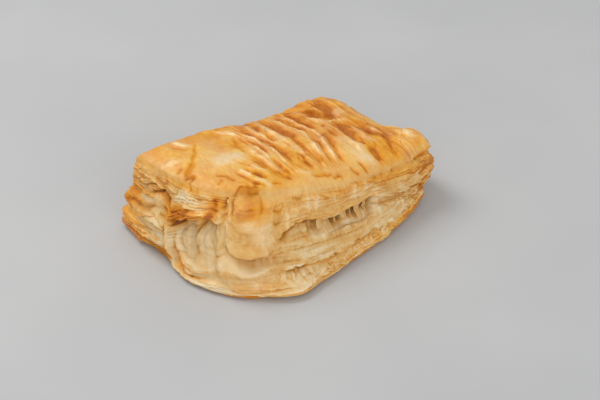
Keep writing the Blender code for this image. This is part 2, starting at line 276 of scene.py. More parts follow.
def side_swell(lap, row, level, mouth=1.0):
    """How far the sides stand out (+) or in (-) from their plain lean, in mm."""
    gape = 1.2 + 1.8 * hump(lap, *MOUTH_GAPE)
    swell = -mouth * crevice(lap, row, MOUTH, MOUTH_ROW, 0.6, gape)
    swell = swell - crevice(lap, row, UNDERCUT, UNDERCUT_ROW, 0.7, 1.0)
    swell = swell - crevice(lap, row, SEAM, SEAM_ROW, 0.7, 0.8)
    swell = swell + LIP_OVER_MOUTH * hump(lap, 0.54, 0.24) * hump(row, MOUTH_ROW + 1.6, 1.3)
    # Flake of the thin end's ear, which overhangs the layers below it.
    ear = EAR_NOTCH * hump(level, 0.68, 0.06) + EAR_UNDERCUT * hump(level, 0.33, 0.12)
    swell = swell - hump(lap, 1.0, 0.08) * ear
    # Rolled knob at the puffed corner.
    from_corner = np.minimum(lap, 4.0 - lap)
    swell = swell + KNOB * hump(from_corner, 0.0, 0.085) * window(level, 0.45, 0.93, 0.06)
    # Hollow at the thick end, under a fold that climbs towards the knob, with a rib up its middle.
    swell = swell - in_hollow(lap, row) * (HOLLOW - HOLLOW_RIB * hump(lap, 3.63, 0.03))
    swell = swell + FOLD_OVER_HOLLOW * window(lap, 3.40, 3.84, 0.04) * hump(row, MOUTH_ROW + 1.6, 1.0)
    swell = swell - KNOB_GROOVE * hump(lap, 3.855, 0.02) * window(row, UNDERCUT_ROW, 16.0, 1.0)
    # Three lobes beside it.
    puff = hump(level, 0.22, 0.09) + hump(level, 0.44, 0.08) + 0.5 * hump(level, 0.85, 0.1)
    swell = swell + LOBE * window(lap, 2.97, 3.38, 0.06) * puff
    turn = np.sin(lap * np.pi / 2.0)
    swell = swell + SIDE_WANDER * noise(from_corner * 5.3, level * 3.1, turn, 21)
    return swell + LAYER_STEP * noise(from_corner * 9.0, row * 0.97, turn, 31)


def top_height(a, b, x, y):
    """Height of the top without its pleats."""
    h = at_corners(a, b, HEIGHT_THICK_OPEN, HEIGHT_THICK_SHUT, HEIGHT_THIN_OPEN, HEIGHT_THIN_SHUT)
    h = h + CROWN * (1 - a * a) * (1 - b * b)
    for centre_x, half_length, centre_y, half_width, rise in TOP_RISES:
        h = h + rise * hump(x, centre_x, half_length) * hump(y, centre_y, half_width)
    h = h - MOUTH_SAG * hump(x, 16.0, 24.0) * smooth(4.0, -22.0, y)
    crease = (x - CREASE_START_X) - (CREASE_START_Y - y) * CREASE_SLANT
    h = h - CREASE_DEPTH * hump(crease, 0.0, CREASE_HALF_WIDTH) * window(y, 6.0, 38.0, 4.0)
    return h + TOP_WANDER * noise(x / 17.0, y / 13.0, x * 0.0, 5)


def outward(a, b):
    """The way out from the side at a lattice point, in plan."""
    out_x, out_y = np.sign(a) * np.abs(a) ** 8, np.sign(b) * np.abs(b) ** 8
    reach = np.sqrt(out_x**2 + out_y**2) + 1e-9
    return out_x / reach, out_y / reach


def rolled_top(a, b, x, y):
    """Height of the top with its edge rolled over."""
    edge = np.maximum(np.abs(a), np.abs(b))
    knob = smooth(0.4, 1.0, -a) * smooth(0.4, 1.0, -b)
    return top_height(a, b, x, y) - (EDGE_ROLL + EDGE_ROLL_AT_KNOB * knob) * edge**9


def side_place(lap, row, mouth=1.0):
    """Place, way out and level of a point on the sides."""
    lap = np.mod(lap, 4.0)
    a, b = square(lap)
    level = level_of(lap, row)
    x, y = plan(a, b, level)
    z = level * rolled_top(a, b, x, y)
    inner = (row > 0.01) & (row < CELLS_HIGH - 0.01)
    swell = np.where(inner, side_swell(lap, row, level, mouth), 0.0)
    swell = swell * smooth(0.0, 1.0, row) * smooth(0.0, 1.0, CELLS_HIGH - row)
    swell = swell + along(lap, FOOT, 1) * (1.0 - smooth(0.05, 0.34, level))
    out_x, out_y = outward(a, b)
    return x + swell * out_x, y + swell * out_y, z, out_x, out_y, level


def square(lap):
    """Where a lap lies on the edge of the square lattice."""
    side = np.floor(lap) % 4
    share = 2.0 * (lap - np.floor(lap)) - 1.0
    a = np.select([side == 0, side == 1, side == 2, side == 3], [share, 1.0, -share, -1.0])
    b = np.select([side == 0, side == 1, side == 2, side == 3], [-1.0, share, 1.0, -share])
    return a, b


def solid_centre():
    """Middle of the solid's box in plan, from the same lattice that it is made on."""
    share_long = np.arange(CELLS_LONG) / CELLS_LONG
    share_wide = np.arange(CELLS_WIDE) / CELLS_WIDE
    laps = np.concatenate([share_long, 1 + share_wide, 2 + share_long, 3 + share_wide])
    lap, row = np.meshgrid(laps, np.arange(CELLS_HIGH + 1.0))
    x, y = side_place(lap.ravel(), row.ravel())[:2]
    return (x.min() + x.max()) / 2.0, (y.min() + y.max()) / 2.0


CENTRE = solid_centre()


# ---------------------------------------------------------------------------------------------
# Making meshes.
# ---------------------------------------------------------------------------------------------

# Vertices closer than this, in metres, become one. Edges bent more than the angle show as creases.
WELD_GAP = 2e-6
CREASE_ANGLE = math.radians(62.0)


def settings():
    """The sizes and colours that the panel shows."""
    return bpy.context.scene.toaster_pastry


def patch(name, columns, rows):
    """A flat grid of faces, with the place of each vertex on it as two numbers from 0 to 1."""
    bpy.ops.object.select_all(action="DESELECT")
    bpy.ops.mesh.primitive_grid_add(x_subdivisions=columns, y_subdivisions=rows, size=1.0)
    obj = bpy.context.object
    obj.name = name
    points = np.empty(len(obj.data.vertices) * 3)
    obj.data.vertices.foreach_get("co", points)
    return obj, points[0::3] + 0.5, points[1::3] + 0.5


def ring(name, rows):
    """A band of faces round the sides: its mesh, the lap of each vertex, and its place from 0 below to 1 above."""
    long, wide = settings().cells_long, settings().cells_wide
    band, u, v = patch(name, 2 * (long + wide), rows)
    # The columns meet the top's own edge vertices.
    corners = np.cumsum((0, long, wide, long, wide))
    return band, np.interp(np.round(u * corners[-1]), corners, range(5)), v


def place_points(obj, x, y, z):
    """Put the vertices at a place in the pastry's own millimetres."""
    points = np.stack((x - CENTRE[0], y - CENTRE[1], z), axis=1) * MM
    obj.data.vertices.foreach_set("co", points.ravel())
    obj.data.update()


def paint(obj, **layers):
    """Store named numbers on the vertices."""
    for name, values in layers.items():
        layer = obj.data.attributes.new(name, "FLOAT", "POINT")
        layer.data.foreach_set("value", np.clip(values, 0.0, 1.0).astype(np.float32))


def weld(name, objects):
    """Join objects into one closed mesh with its faces pointing out."""
    bpy.ops.object.select_all(action="DESELECT")
    for obj in objects:
        obj.select_set(True)
    bpy.context.view_layer.objects.active = objects[0]
    bpy.ops.object.join()
    whole = bpy.context.object
    whole.name = name
    bpy.ops.object.mode_set(mode="EDIT")
    bpy.ops.mesh.select_all(action="SELECT")
    bpy.ops.mesh.remove_doubles(threshold=WELD_GAP)
    bpy.ops.mesh.normals_make_consistent(inside=False)
    bpy.ops.object.mode_set(mode="OBJECT")
    bpy.ops.object.shade_smooth_by_angle(angle=CREASE_ANGLE)
    return whole


def close_holes(obj):
    """Close each open edge loop with one face."""
    bpy.ops.object.select_all(action="DESELECT")
    obj.select_set(True)
    bpy.context.view_layer.objects.active = obj
    bpy.ops.object.mode_set(mode="EDIT")
    bpy.ops.mesh.select_mode(type="EDGE")
    bpy.ops.mesh.select_all(action="DESELECT")
    bpy.ops.mesh.select_non_manifold(
        extend=False, use_wire=False, use_multi_face=False, use_non_contiguous=False, use_verts=False
    )
    bpy.ops.mesh.edge_face_add()
    bpy.ops.mesh.select_all(action="SELECT")
    bpy.ops.mesh.normals_make_consistent(inside=False)
    bpy.ops.object.mode_set(mode="OBJECT")


def finish_piece(obj, material):
    """Check that a piece is closed, give it its material and say what carries it."""
    corners = np.empty(len(obj.data.loops), dtype=np.int32)
    obj.data.loops.foreach_get("edge_index", corners)
    if np.any(np.bincount(corners, minlength=len(obj.data.edges)) != 2):
        raise RuntimeError(obj.name + " is not closed")
    obj.data.materials.clear()
    obj.data.materials.append(material)
    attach(obj, BODY)


# ---------------------------------------------------------------------------------------------
# Fine relief and browning of the dough, painted on with strokes. Each stroke is (half width, rise,
# browning, glaze, points): its width and rise are in millimetres, and the browning and the glaze
# are shares that it adds. One that adds no glaze leaves that number out.
# ---------------------------------------------------------------------------------------------

# Grooves between the pleats of the top, browner than the rest. Their points are (x, y) in millimetres.
GROOVES = (
    (0.9, -0.4, 0.36, -0.3, ((-42.6, 12.6), (-40, 14.2), (-36.4, 17), (-32.2, 20.6), (-28.4, 24.6), (-26.4, 27.4))),
    (1.1, -0.2, 0.22, -0.3, ((-42, 11.8), (-39, 13.4), (-36, 16), (-33.4, 18.4))),
    (0.7, -0.25, 0.26, ((-35.2, 33), (-34.2, 30), (-32.6, 27.2), (-30.4, 25))),
    (0.7, -0.3, 0.3, ((-44, 9), (-41, 9.5), (-39, 10.5))),
    (0.7, -0.3, 0.3, ((-43.5, 17), (-41.5, 17.2), (-40, 18))),
    (1.6, -0.3, 0.28, ((-10.5, 24), (-12.5, 20), (-13.5, 15), (-14.5, 9), (-14, -3), (-14.5, -7), (-12.5, -12))),
    (0.8, -0.7, 0.5, ((-9.2, 21), (-7.6, 17), (-6.6, 14.5), (-6.6, 11), (-7.5, 7), (-8.3, 3.5))),
    (0.6, -0.35, 0.3, ((-8.8, 1), (-9.3, -3), (-9.2, -8), (-10, -12))),
    (1.3, -0.8, 0.5, ((-2.8, 30), (-3.9, 26), (-3.2, 21), (-1.8, 16), (-1.4, 11), (-2.3, 5), (-2.9, 0), (-3, -5))),
    (1.4, -0.7, 0.6, ((4.5, 30), (3, 26), (1.2, 22.5))),
    (0.9, -0.6, 0.4, ((1.6, 18), (0.8, 14.5), (1.2, 11))),
    (0.6, -0.5, 0.4, ((1.6, 0), (2, -3), (1.2, -8), (1, -12))),
    (1.8, -0.9, 0.5, ((10.5, 31), (9.3, 26), (9, 22), (9.3, 17), (9.3, 13), (8.3, 9))),
    (0.9, -0.8, 0.45, ((9, 12), (7.6, 6), (7.2, 0), (7, -4), (6.4, -9), (5.6, -13))),
    (1.1, -0.7, 0.4, ((16.3, 31), (15.4, 26), (15.2, 20), (16, 15), (15.8, 11.5))),
    (0.8, -0.4, 0.25, ((15.2, 7), (15, 2), (13.5, -3), (12, -8))),
    (1.5, -1, 0.75, ((22.3, 34), (21.6, 29), (21.4, 24), (20.4, 19), (20.4, 14), (20.2, 10))),
    (1, -0.7, 0.4, ((20.3, 8), (20.8, 3), (19.4, -1), (17.2, -6), (16, -11), (15.5, -14))),
    (2.6, -0.95, 0.75, ((31.5, 31), (30.5, 28), (29.4, 25), (28.6, 21.5), (28, 17.5))),
    (1.4, -0.5, 0.5, ((25.5, 12.8), (26.2, 11.5))),
    (0.8, -0.4, 0.35, ((24.6, 8), (24.2, 4), (24.8, 2))),
    (1.3, -0.7, 0.6, ((34.5, 31), (35.6, 26), (35.8, 21), (35.2, 17.5), (33, 16.4))),
    (1.7, -0.9, 0.75, ((31.5, 12.2), (32, 8.5), (31, 5), (29.8, 1.5), (29.2, -1.5))),
    (1, -0.9, 0.6, ((30, 3), (29.1, -3), (30, -6.5), (31.5, -9))),
    (1, -0.6, 0.5, ((31.5, -9), (30.4, -12), (29.4, -15.5), (29.8, -19.5))),
    (1.5, -0.9, 0.65, ((38.8, 9.5), (38.4, 5), (39, 1), (39.4, -3), (39.6, -6))),
    (1.4, -0.55, 0.48, ((45.5, 1.5), (43.5, -4), (41, -9.5), (39, -14.5), (38.6, -17.7), (39.6, -20.5))),
    (0.8, -0.35, 0.34, ((49.4, 1), (48.4, -3.4), (47, -7.6), (45.6, -11.5))),
    (0.9, -0.55, 0.5, ((33.5, -11), (31.6, -13.1), (31, -16.5), (31.6, -19))),
    (0.7, -0.5, 0.5, ((-2.5, -15.5), (1, -16.3), (4.5, -17), (6, -16.5))),
    (0.7, -0.5, 0.5, ((5, -18.3), (8, -18.8), (10.5, -20))),
    (0.7, -0.5, 0.45, ((15, -17.5), (15.8, -19.5), (17, -21))),
    (0.7, -0.5, 0.45, ((20, -16), (21, -19), (21.5, -21))),
    (0.5, -0.3, 0.3, ((47, 12), (45, 8), (43.5, 3))),
    (0.5, -0.3, 0.3, ((50, 4), (47.5, -2), (46.5, -6))),
    (0.5, -0.3, 0.3, ((52, -4), (49, -9), (47.5, -14))),
    (1, -0.45, 0.4, ((-22.5, 1), (-21.5, -3), (-20, -7), (-17.5, -9))),
    (0.8, -0.45, 0.4, ((-27, 2), (-26.3, -3), (-25.4, -8), (-24.8, -10.5))),
    (0.8, -0.4, 0.35, ((-16.5, 6), (-16, 1), (-15.4, -5))),
    (0.5, -0.3, 0.62, ((-34.9, -5.9), (-33, -6.3), (-31.4, -6.9), (-30, -7.6), (-28.5, -8.5), (-27.1, -9.5),
        (-25.9, -10.6), (-25, -12.4))),
    # Browning with no rise over the bulging lip above the knob: painted shade that dulls its highlight.
    (0.8, 0, 0.26, -0.3, ((-31.4, -7.7), (-29.8, -8.7), (-28.2, -9.8), (-27, -10.8))),
    (0.9, -0.4, 0.56, ((-25.6, -7.6), (-25, -9), (-24.2, -10.4), (-23.2, -11.4), (-22.2, -12))),
    (1.1, -0.55, 0.5, ((-21.8, -2.4), (-21, -4.6), (-19.7, -7.8))),
    (0.9, -0.35, 0.42, ((-31.4, 1.2), (-30.4, -0.8), (-30, -3))),
    (0.9, -0.25, 0.26, ((-30, -4.6), (-29.2, -6), (-28.2, -7.4), (-27.2, -8.6))),
    (0.8, -0.45, 0.35, ((-21.8, 6.4), (-20.4, 3.6), (-19.8, 0.6), (-19.2, -1.6))),
    (0.9, -0.45, 0.45, ((-13, -6.5), (-12, -9.8), (-10.8, -14.6))),
    (0.6, -0.2, 0.2, ((-36.6, 0.6), (-34.8, 0.8), (-32.2, 1.4))),
    (0.6, -0.35, 0.4, ((-20, -12.2), (-17.5, -12.8), (-15.5, -14))),
    (0.6, -0.35, 0.35, ((-34, 4.5), (-31.5, 2.5), (-29.5, 0.5))),
    (0.9, -0.4, 0.4, ((-43.2, 12.6), (-41.2, 11.2), (-39.2, 10.6))),
)

# Pale ridges between the grooves, which carry more of the glaze. Its pale colour on them is partly painted highlight,
# and the broadest ridges are painted highlight patches.
RIDGES = (
    (1, 0, -0.08, 0.2, ((-33.5, -5), (-31.8, -5.8), (-30, -6.8), (-28.2, -8), (-26.6, -9.2), (-25.2, -10.4))),
    (0.9, 0.1, -0.18, 0.5, ((-24.2, -6.2), (-23.2, -8.2), (-22.4, -10), (-21.2, -11.8), (-20, -12.8))),
    (0.8, 0.6, -0.29, 0.72, ((-13.5, 32), (-12, 28.5), (-10.4, 25.5), (-10.2, 22))),
    (0.6, 0.7, -0.41, 1, ((-9, 15.5), (-8.7, 11.5), (-9, 7), (-9.8, 3), (-10.6, 0))),
    (0.9, 0.35, -0.23, 0.72, ((-6.3, 25), (-5.6, 20), (-5, 15), (-4.6, 9), (-5, 3), (-6.2, -3), (-6.6, -8))),
    (1, 0.4, -0.25, 0.72, ((1.5, 34), (0.3, 29), (-0.8, 24), (-0.4, 19), (0, 12), (0.6, 7))),
    (1.2, 0.3, -0.23, 0.6, ((3, 5), (3.4, 0), (3, -3))),
    (1.7, 0.4, -0.23, 0.66, ((7, 31), (5.6, 26), (5, 21), (5.3, 16), (4.5, 11), (4, 6))),
    (1, 0.5, -0.25, 0.72, ((13.4, 32), (13.5, 26), (12.9, 20), (13.7, 15), (14, 10), (12.8, 5), (11.6, 0))),
    (1.2, 0.5, -0.25, 0.72, ((12.5, 3), (11.6, 0), (10.8, -4), (9.5, -9))),
    (0.9, 0.5, -0.25, 0.72, ((18.3, 33), (18.4, 27), (18.3, 21), (17.8, 16), (18.6, 11.5), (18.6, 7), (17.6, 2.5))),
    (1, 0.5, -0.25, 0.72, ((18.2, 4.5), (17.6, 2.5), (15.6, -3), (14, -8), (12.5, -13))),
    (1.2, 0.4, -0.11, 0.48, ((25.3, 34), (24.8, 29), (25.3, 24), (24.6, 19), (26, 15), (27.8, 12), (28.3, 8),
        (27.5, 3))),
    (1.2, 0.55, -0.26, 0.5, ((26.7, 20.5), (27, 16.2), (28.6, 13.8), (32.1, 13.4), (35.6, 14.4), (38, 12.6),
        (39.4, 9.8))),
    (3.4, 0.3, -0.32, 0.96, ((27, 4), (26, -2), (24.5, -8), (24.2, -14), (24.5, -19))),
    (1.4, 0.4, -0.23, 0.72, ((37, 8), (35.4, 4), (34.5, -1), (34.8, -6), (36.2, -11))),
    (0.6, 0.4, -0.23, 0.6, ((30, 32), (31.5, 29.5), (32.6, 26.5), (33.8, 23), (34.5, 21))),
    (0.7, 0.3, -0.23, 0.6, ((41.4, 2), (42.4, -2), (43.3, -6))),
    (2.5, 0.1, -0.17, 0.72, ((40, 17), (38.5, 21))),
    (2.2, 0.15, -0.2, 0.9, ((27.2, -15.5), (24.8, -18.5))),
    (1.6, 0.15, -0.14, 0.6, ((51.5, -6), (50.5, -11), (49.5, -16))),
    (1.2, 0.45, -0.34, 1, ((-32.8, 35.5), (-31.8, 32.5), (-30.6, 29.5), (-29.2, 27))),
    (3.5, 0.1, -0.17, 0.72, ((-19, 13), (-20, 8))),
    (3, 0.15, -0.28, 1, ((-27.5, 13.5), (-25.5, 10.5), (-24.6, 7.5))),
    (2.5, 0.1, -0.14, 0.72, ((-42, 22), (-40, 25))),
    (0.9, 0.4, -0.23, 0.6, ((-24.5, 2), (-23.9, -1.5), (-23.8, -5))),
    (0.9, 0.35, -0.17, 0.6, ((-19.5, 2), (-18.6, -3), (-17.2, -7))),
    (1.2, 0.3, -0.17, 0.54, ((-11.8, 14), (-12, 5), (-12, -5), (-11.5, -10))),
    (1, 0.35, -0.17, 0.48, ((-6, -10), (-4.5, -13), (-1, -14.2))),
)

# The lie of the pleats: where each of nine of them crosses the lines y = FLOW_Y.
FLOW_Y = (-20.0, -10.0, 0.0, 10.0, 20.0, 30.0, 40.0)
FLOW = (
    (-43, -43, -43, -43, -43, -43, -43), (-11, -9.5, -10, -9, -10, -12.5, -15), (-2, -3.5, -3, -1.7, -3, -3, -2),
    (5, 6, 7, 7.5, 8.5, 10, 11), (13, 14, 17, 18.5, 18.3, 18.3, 19), (30, 30, 29.3, 30.5, 30, 29, 27),
    (39.5, 39.5, 39, 38.5, 36.5, 37, 38), (48, 46, 45.5, 46, 48, 50, 50), (58, 58, 58, 58, 58, 58, 58),
)

# Broad tones of the top, as (x, half length, y, half width, browning, glaze). Their pale glaze patches are partly
# painted highlight where glare falls.
TOP_TONES = (
    (-27, 14, 14, 12, -0.14, 0.35), (-2, 30, 38, 6, 0.24, -0.2), (32, 9, 24, 8, 0.2, -0.2),
    (33, 14, 4, 14, 0.2, -0.15), (44, 7, 18, 8, -0.02, 0.2), (48, 8, -10, 10, -0.08, 0.45),
    (5, 34, -18, 4, -0.03, 0.45), (8, 16, 16, 16, 0.12, 0), (34, 13, -11, 10, 0.06, -0.4), (-40, 6, 12, 12, 0.06, 0),
)

# Folds, gaps and stains of the sides; the browning of the gaps is partly painted shade that falls in them. Their
# points are (lap, row).
SIDE_GAPS = (
    # Under the knob and along its foot, browned as painted shade under the knob's rolled end and its arc.
    (0.8, -1.4, 0.46, ((-0.105, 8.4), (-0.085, 7.3), (-0.05, 6.9), (0, 7.2), (0.04, 7.6), (0.065, 8), (0.08, 8.8))),
    (1.3, -0.1, 0.12, ((-0.08, 15.2), (-0.045, 15), (-0.015, 15.2), (0.01, 15.6))),
    (0.9, -0.05, 0.26, ((-0.065, 17.4), (-0.04, 17.6), (-0.015, 17.6), (0.01, 17.3))),
    (0.5, -0.12, 0.2, ((-0.03, 16.2), (-0.015, 16.3), (0, 16.1))),
    (0.7, -1, 0.4, ((-0.087, 13.9), (-0.105, 15), (-0.117, 16.2), (-0.121, 17.2), (-0.117, 18))),
    (0.7, -0.5, 0.3, ((0.012, 18.4), (0.016, 17.8), (0.022, 17.2), (0.024, 16.4), (0.022, 15.4))),
    (0.7, -1, 0.5, ((-0.17, 14), (-0.175, 15.4), (-0.165, 16.8), (-0.15, 17.6))),
    (0.6, -0.3, 0.3, ((0.072, 15.9), (0.1, 15.5), (0.13, 15.3))),
    (0.6, -0.3, 0.3, ((0.068, 13.7), (0.1, 13.3), (0.128, 13.3))),
    (0.5, -0.2, 0.12, ((-0.055, 9.8), (-0.04, 10.8), (-0.03, 12.4))),
    (0.5, -0.2, 0.12, ((-0.02, 9.6), (-0.012, 10.8), (-0.015, 12.5))),
    # The mouth's narrow start, browned as painted shade under its lip.
    (0.9, -2.2, 0.45, ((0.125, 9.6), (0.15, 10.2), (0.175, 10.7), (0.205, 11.1), (0.235, 11.3))),
    (0.8, -1.6, 0.4, ((0.225, 11.4), (0.26, 11.3), (0.3, 11.1), (0.34, 11))),
    # Lens of pale dough with a dark line under it.
    (0.6, -0.7, 0.5, ((0.12, 5), (0.16, 4.5), (0.2, 4.3), (0.235, 4.4), (0.25, 4.7))),
    (0.8, -0.3, 0.35, ((0.17, 4), (0.185, 3.9))),
    (0.35, -0.4, 0.4, ((0.25, 4.5), (0.3, 4.6), (0.34, 4.6), (0.39, 4.9), (0.42, 5.1))),
    (0.5, -0.3, 0.35, ((0.12, 6.2), (0.17, 6.1), (0.22, 5.8))),
    (0.6, -0.2, 0.3, ((0.17, 17.2), (0.21, 16.7), (0.26, 16.9))),
    (0.5, -0.2, 0.25, ((0.28, 17.2), (0.33, 16.6), (0.37, 16.4), (0.39, 15.6))),
    (0.6, -0.2, 0.25, ((0.09, 10.6), (0.12, 10.2), (0.145, 9.8))),
    (0.6, -0.6, 0.5, ((0.5, 5.5), (0.53, 5.2), (0.555, 4.6), (0.575, 4.2))),
    (0.5, -0.4, 0.35, ((0.38, 5.4), (0.41, 4.9), (0.44, 4.9))),
    (0.9, -0.3, 0.35, ((0.595, 5.6), (0.61, 5.2), (0.625, 4.9))),
    (0.5, -0.5, 0.45, ((0.7, 4.9), (0.72, 4.5), (0.735, 4))),
    (0.8, -0.4, 0.4, ((0.742, 9.8), (0.755, 10), (0.767, 9.4))),
    (0.35, -0.3, 0.3, ((0.67, 9.2), (0.685, 8.8), (0.7, 8.4), (0.715, 8.2))),
    (0.8, -0.6, 0.25, ((0.805, 6.9), (0.83, 6.8), (0.85, 6.7), (0.885, 6.8))),
    (0.7, -0.3, 0.35, ((0.83, 5.8), (0.85, 5.4))),
    (0.7, -0.4, 0.35, ((0.885, 9.4), (0.91, 8), (0.95, 6.2), (0.99, 4.8))),
    (0.8, -0.4, 0.35, ((0.88, 5.4), (0.92, 4.6), (0.96, 3))),
    (0.6, -0.3, 0.3, ((0.91, 15), (0.93, 13.6), (0.955, 12.4))),
    (0.7, -0.3, 0.2, ((0.965, 11.4), (0.985, 11.8), (1.01, 12.1))),
    (1, -0.8, 0.35, ((0.955, 9.6), (0.98, 9), (1.02, 8.7))),
    (1.1, -2.8, 0.4, ((0.905, 17.3), (0.94, 17), (0.97, 16.9), (1.01, 16.8), (1.07, 16.9))),
    (2.2, -1.1, 0, ((0.93, 15.4), (0.97, 15.2), (1.01, 15.1), (1.07, 15.3))),
    (0.6, -0.4, 0.4, ((0.84, 14.9), (0.88, 14.2), (0.91, 14))),
    (0.6, -0.5, 0.4, ((0.915, 7.6), (0.93, 6.9), (0.945, 6.4))),
    (0.5, -0.3, 0.3, ((0.62, 2.4), (0.645, 2), (0.665, 1.8))),
    (0.7, -0.2, 0.3, ((0.7, 17.8), (0.715, 17.2))),
    (0.7, -0.45, 0.6, ((0.768, 18), (0.775, 17.4), (0.782, 16.8))),
    (0.6, -0.35, 0.45, ((0.652, 18), (0.668, 17.2), (0.666, 16.4))),
    (0.5, -0.25, 0.35, ((0.545, 17.9), (0.556, 17.1), (0.552, 16.5))),
    (0.6, -0.25, 0.3, ((0.62, 16.6), (0.66, 15.6), (0.7, 15.2), (0.75, 15.6))),
    # Thick end: the crevice between its lobes, browned as painted shade in it.
    (1, -2, 0.5, ((-0.8, 10.4), (-0.768, 11.3), (-0.716, 13.1), (-0.683, 13.9), (-0.644, 13.9), (-0.617, 13.2),
        (-0.6, 12.2))),
    (0.45, -0.4, 0.45, ((-1, 7.9), (-0.96, 8.3), (-0.9, 8.5), (-0.83, 8.6), (-0.75, 9), (-0.7, 9.4))),
    (0.45, -0.3, 0.35, ((-0.98, 9.6), (-0.88, 9.7), (-0.8, 9.9), (-0.74, 10))),
    (0.3, -0.3, 0.45, ((-0.69, 9), (-0.66, 9.1), (-0.623, 9.6))),
    (0.5, -0.5, 0.3, ((-0.86, 3.5), (-0.84, 4.4), (-0.81, 5), (-0.75, 5.4), (-0.68, 5.8), (-0.64, 6.5))),
    (0.5, -0.4, 0.35, ((-0.97, 1.2), (-0.93, 2.2), (-0.9, 3.2), (-0.87, 3.8))),
    (0.5, -0.3, 0.3, ((-0.72, 1.8), (-0.69, 3), (-0.64, 4.4), (-0.6, 5.4))),
    (0.5, -0.3, 0.25, ((-0.86, 8), (-0.76, 7.6), (-0.68, 7.6), (-0.62, 8.2))),
    (0.6, -0.25, 0.25, ((-0.98, 11.8), (-0.94, 12.4), (-0.9, 13.4), (-0.86, 14.6))),
    (0.5, -0.25, 0.25, ((-0.9, 11.2), (-0.84, 12.4), (-0.79, 13.6), (-0.72, 14.8))),
    (0.6, -0.2, 0.25, ((-0.8, 15.4), (-0.72, 15.2), (-0.66, 15.8))),
    (0.8, -0.2, 0.3, ((-0.69, 16.2), (-0.66, 16.6))),
    (0.8, -0.3, 0.4, ((-0.66, 10.4), (-0.635, 11.4), (-0.61, 12.2))),
    # The fold over the hollow, with its dark red line.
    (1.3, -0.2, 0.34, ((-0.6, 12.8), (-0.55, 12.5), (-0.5, 12.3), (-0.45, 12.4), (-0.39, 13))),
    (0.9, -0.7, 0.85, ((-0.6, 9.4), (-0.56, 10), (-0.5, 10.2), (-0.45, 10.7), (-0.4, 11.2))),
    (0.7, -0.7, 0.74, ((-0.34, 10), (-0.29, 10.1), (-0.25, 10.3), (-0.21, 10.8), (-0.19, 11.4))),
    (1.2, -0.4, 0.46, ((-0.27, 11.9), (-0.24, 11.8), (-0.205, 11.6))),
    (0.8, -0.3, 0.28, ((-0.25, 14), (-0.22, 13.4), (-0.195, 12.8))),
    (0.9, -0.4, 0.35, ((-0.255, 16.6), (-0.235, 15.4), (-0.21, 14.2))),
    (0.7, -0.3, 0.3, ((-0.41, 15.4), (-0.37, 15.6), (-0.34, 15.4))),
    (0.6, -0.4, 0.5, ((-0.47, 18), (-0.455, 17.2), (-0.45, 16.4))),
    (0.5, -0.3, 0.4, ((-0.4, 18), (-0.385, 17.4), (-0.38, 16.7))),
    (0.5, -0.3, 0.35, ((-0.55, 17.9), (-0.54, 17.3), (-0.545, 16.8))),
    (0.6, -0.2, 0.25, ((-0.58, 15.9), (-0.565, 15.6))),
    # Inside the hollow: creases of the pale dough, browned as painted shade in them.
    (0.8, -1.6, 0.46, ((-0.31, 9.9), (-0.345, 9.5), (-0.375, 8.6), (-0.385, 7.6), (-0.37, 6.7), (-0.35, 6.3))),
    (0.6, -0.6, 0.3, ((-0.42, 6.4), (-0.39, 6.8), (-0.36, 7.3))),
    (0.7, -0.5, 0.18, ((-0.178, 11.4), (-0.182, 9.6), (-0.185, 8.2), (-0.21, 7))),
    (0.5, -0.3, 0.3, ((-0.54, 7.8), (-0.53, 6.8), (-0.51, 6.3), (-0.48, 6.3))),
    (0.5, -0.3, 0.28, ((-0.5, 9), (-0.49, 7.8), (-0.47, 6.9))),
    (0.4, -0.2, 0.2, ((-0.28, 8.6), (-0.25, 7.6), (-0.2, 6.9), (-0.16, 6.6))),
    # Painted shade along the line where the leaf that rims the hollow lies over the lobes, and the golden gap inside
    # it.
    (0.7, -1.5, 0.5, ((-0.625, 9.8), (-0.618, 7.6), (-0.612, 5.6), (-0.6, 3.8), (-0.575, 2.2))),
    (0.8, -1.5, 0.55, ((-0.575, 7.9), (-0.56, 5.6), (-0.535, 4.2), (-0.5, 3.2), (-0.45, 2.7), (-0.39, 2.9),
        (-0.31, 4))),
    (0.6, -0.2, 0.3, ((-0.46, 2.6), (-0.43, 3.4))),
    (0.6, -0.2, 0.3, ((-0.4, 2.4), (-0.38, 3.4))),
    (0.6, -0.3, 0.35, ((-0.16, 8.6), (-0.165, 10.5), (-0.16, 12.8), (-0.15, 14.4))),
    # Thin end and shut side.
    (0.6, -0.5, 0.4, ((1.05, 11), (1.3, 10.2), (1.6, 10.6), (1.95, 10))),
    (0.5, -0.5, 0.35, ((1.1, 5), (1.4, 5.6), (1.7, 4.8), (1.96, 5.4))),
    (0.6, -0.5, 0.4, ((2.05, 10), (2.2, 9.4), (2.35, 9.7), (2.48, 10.2))),
    (0.6, -0.5, 0.4, ((-1.45, 10.4), (-1.3, 9.8), (-1.15, 9.9), (-1.03, 10.2))),
    (0.5, -0.5, 0.35, ((2.04, 5.4), (2.2, 4.7), (2.36, 4.9), (2.48, 5.3))),
    (0.5, -0.5, 0.35, ((-1.46, 5.2), (-1.3, 5.4), (-1.14, 5), (-1.04, 5.2))),
)

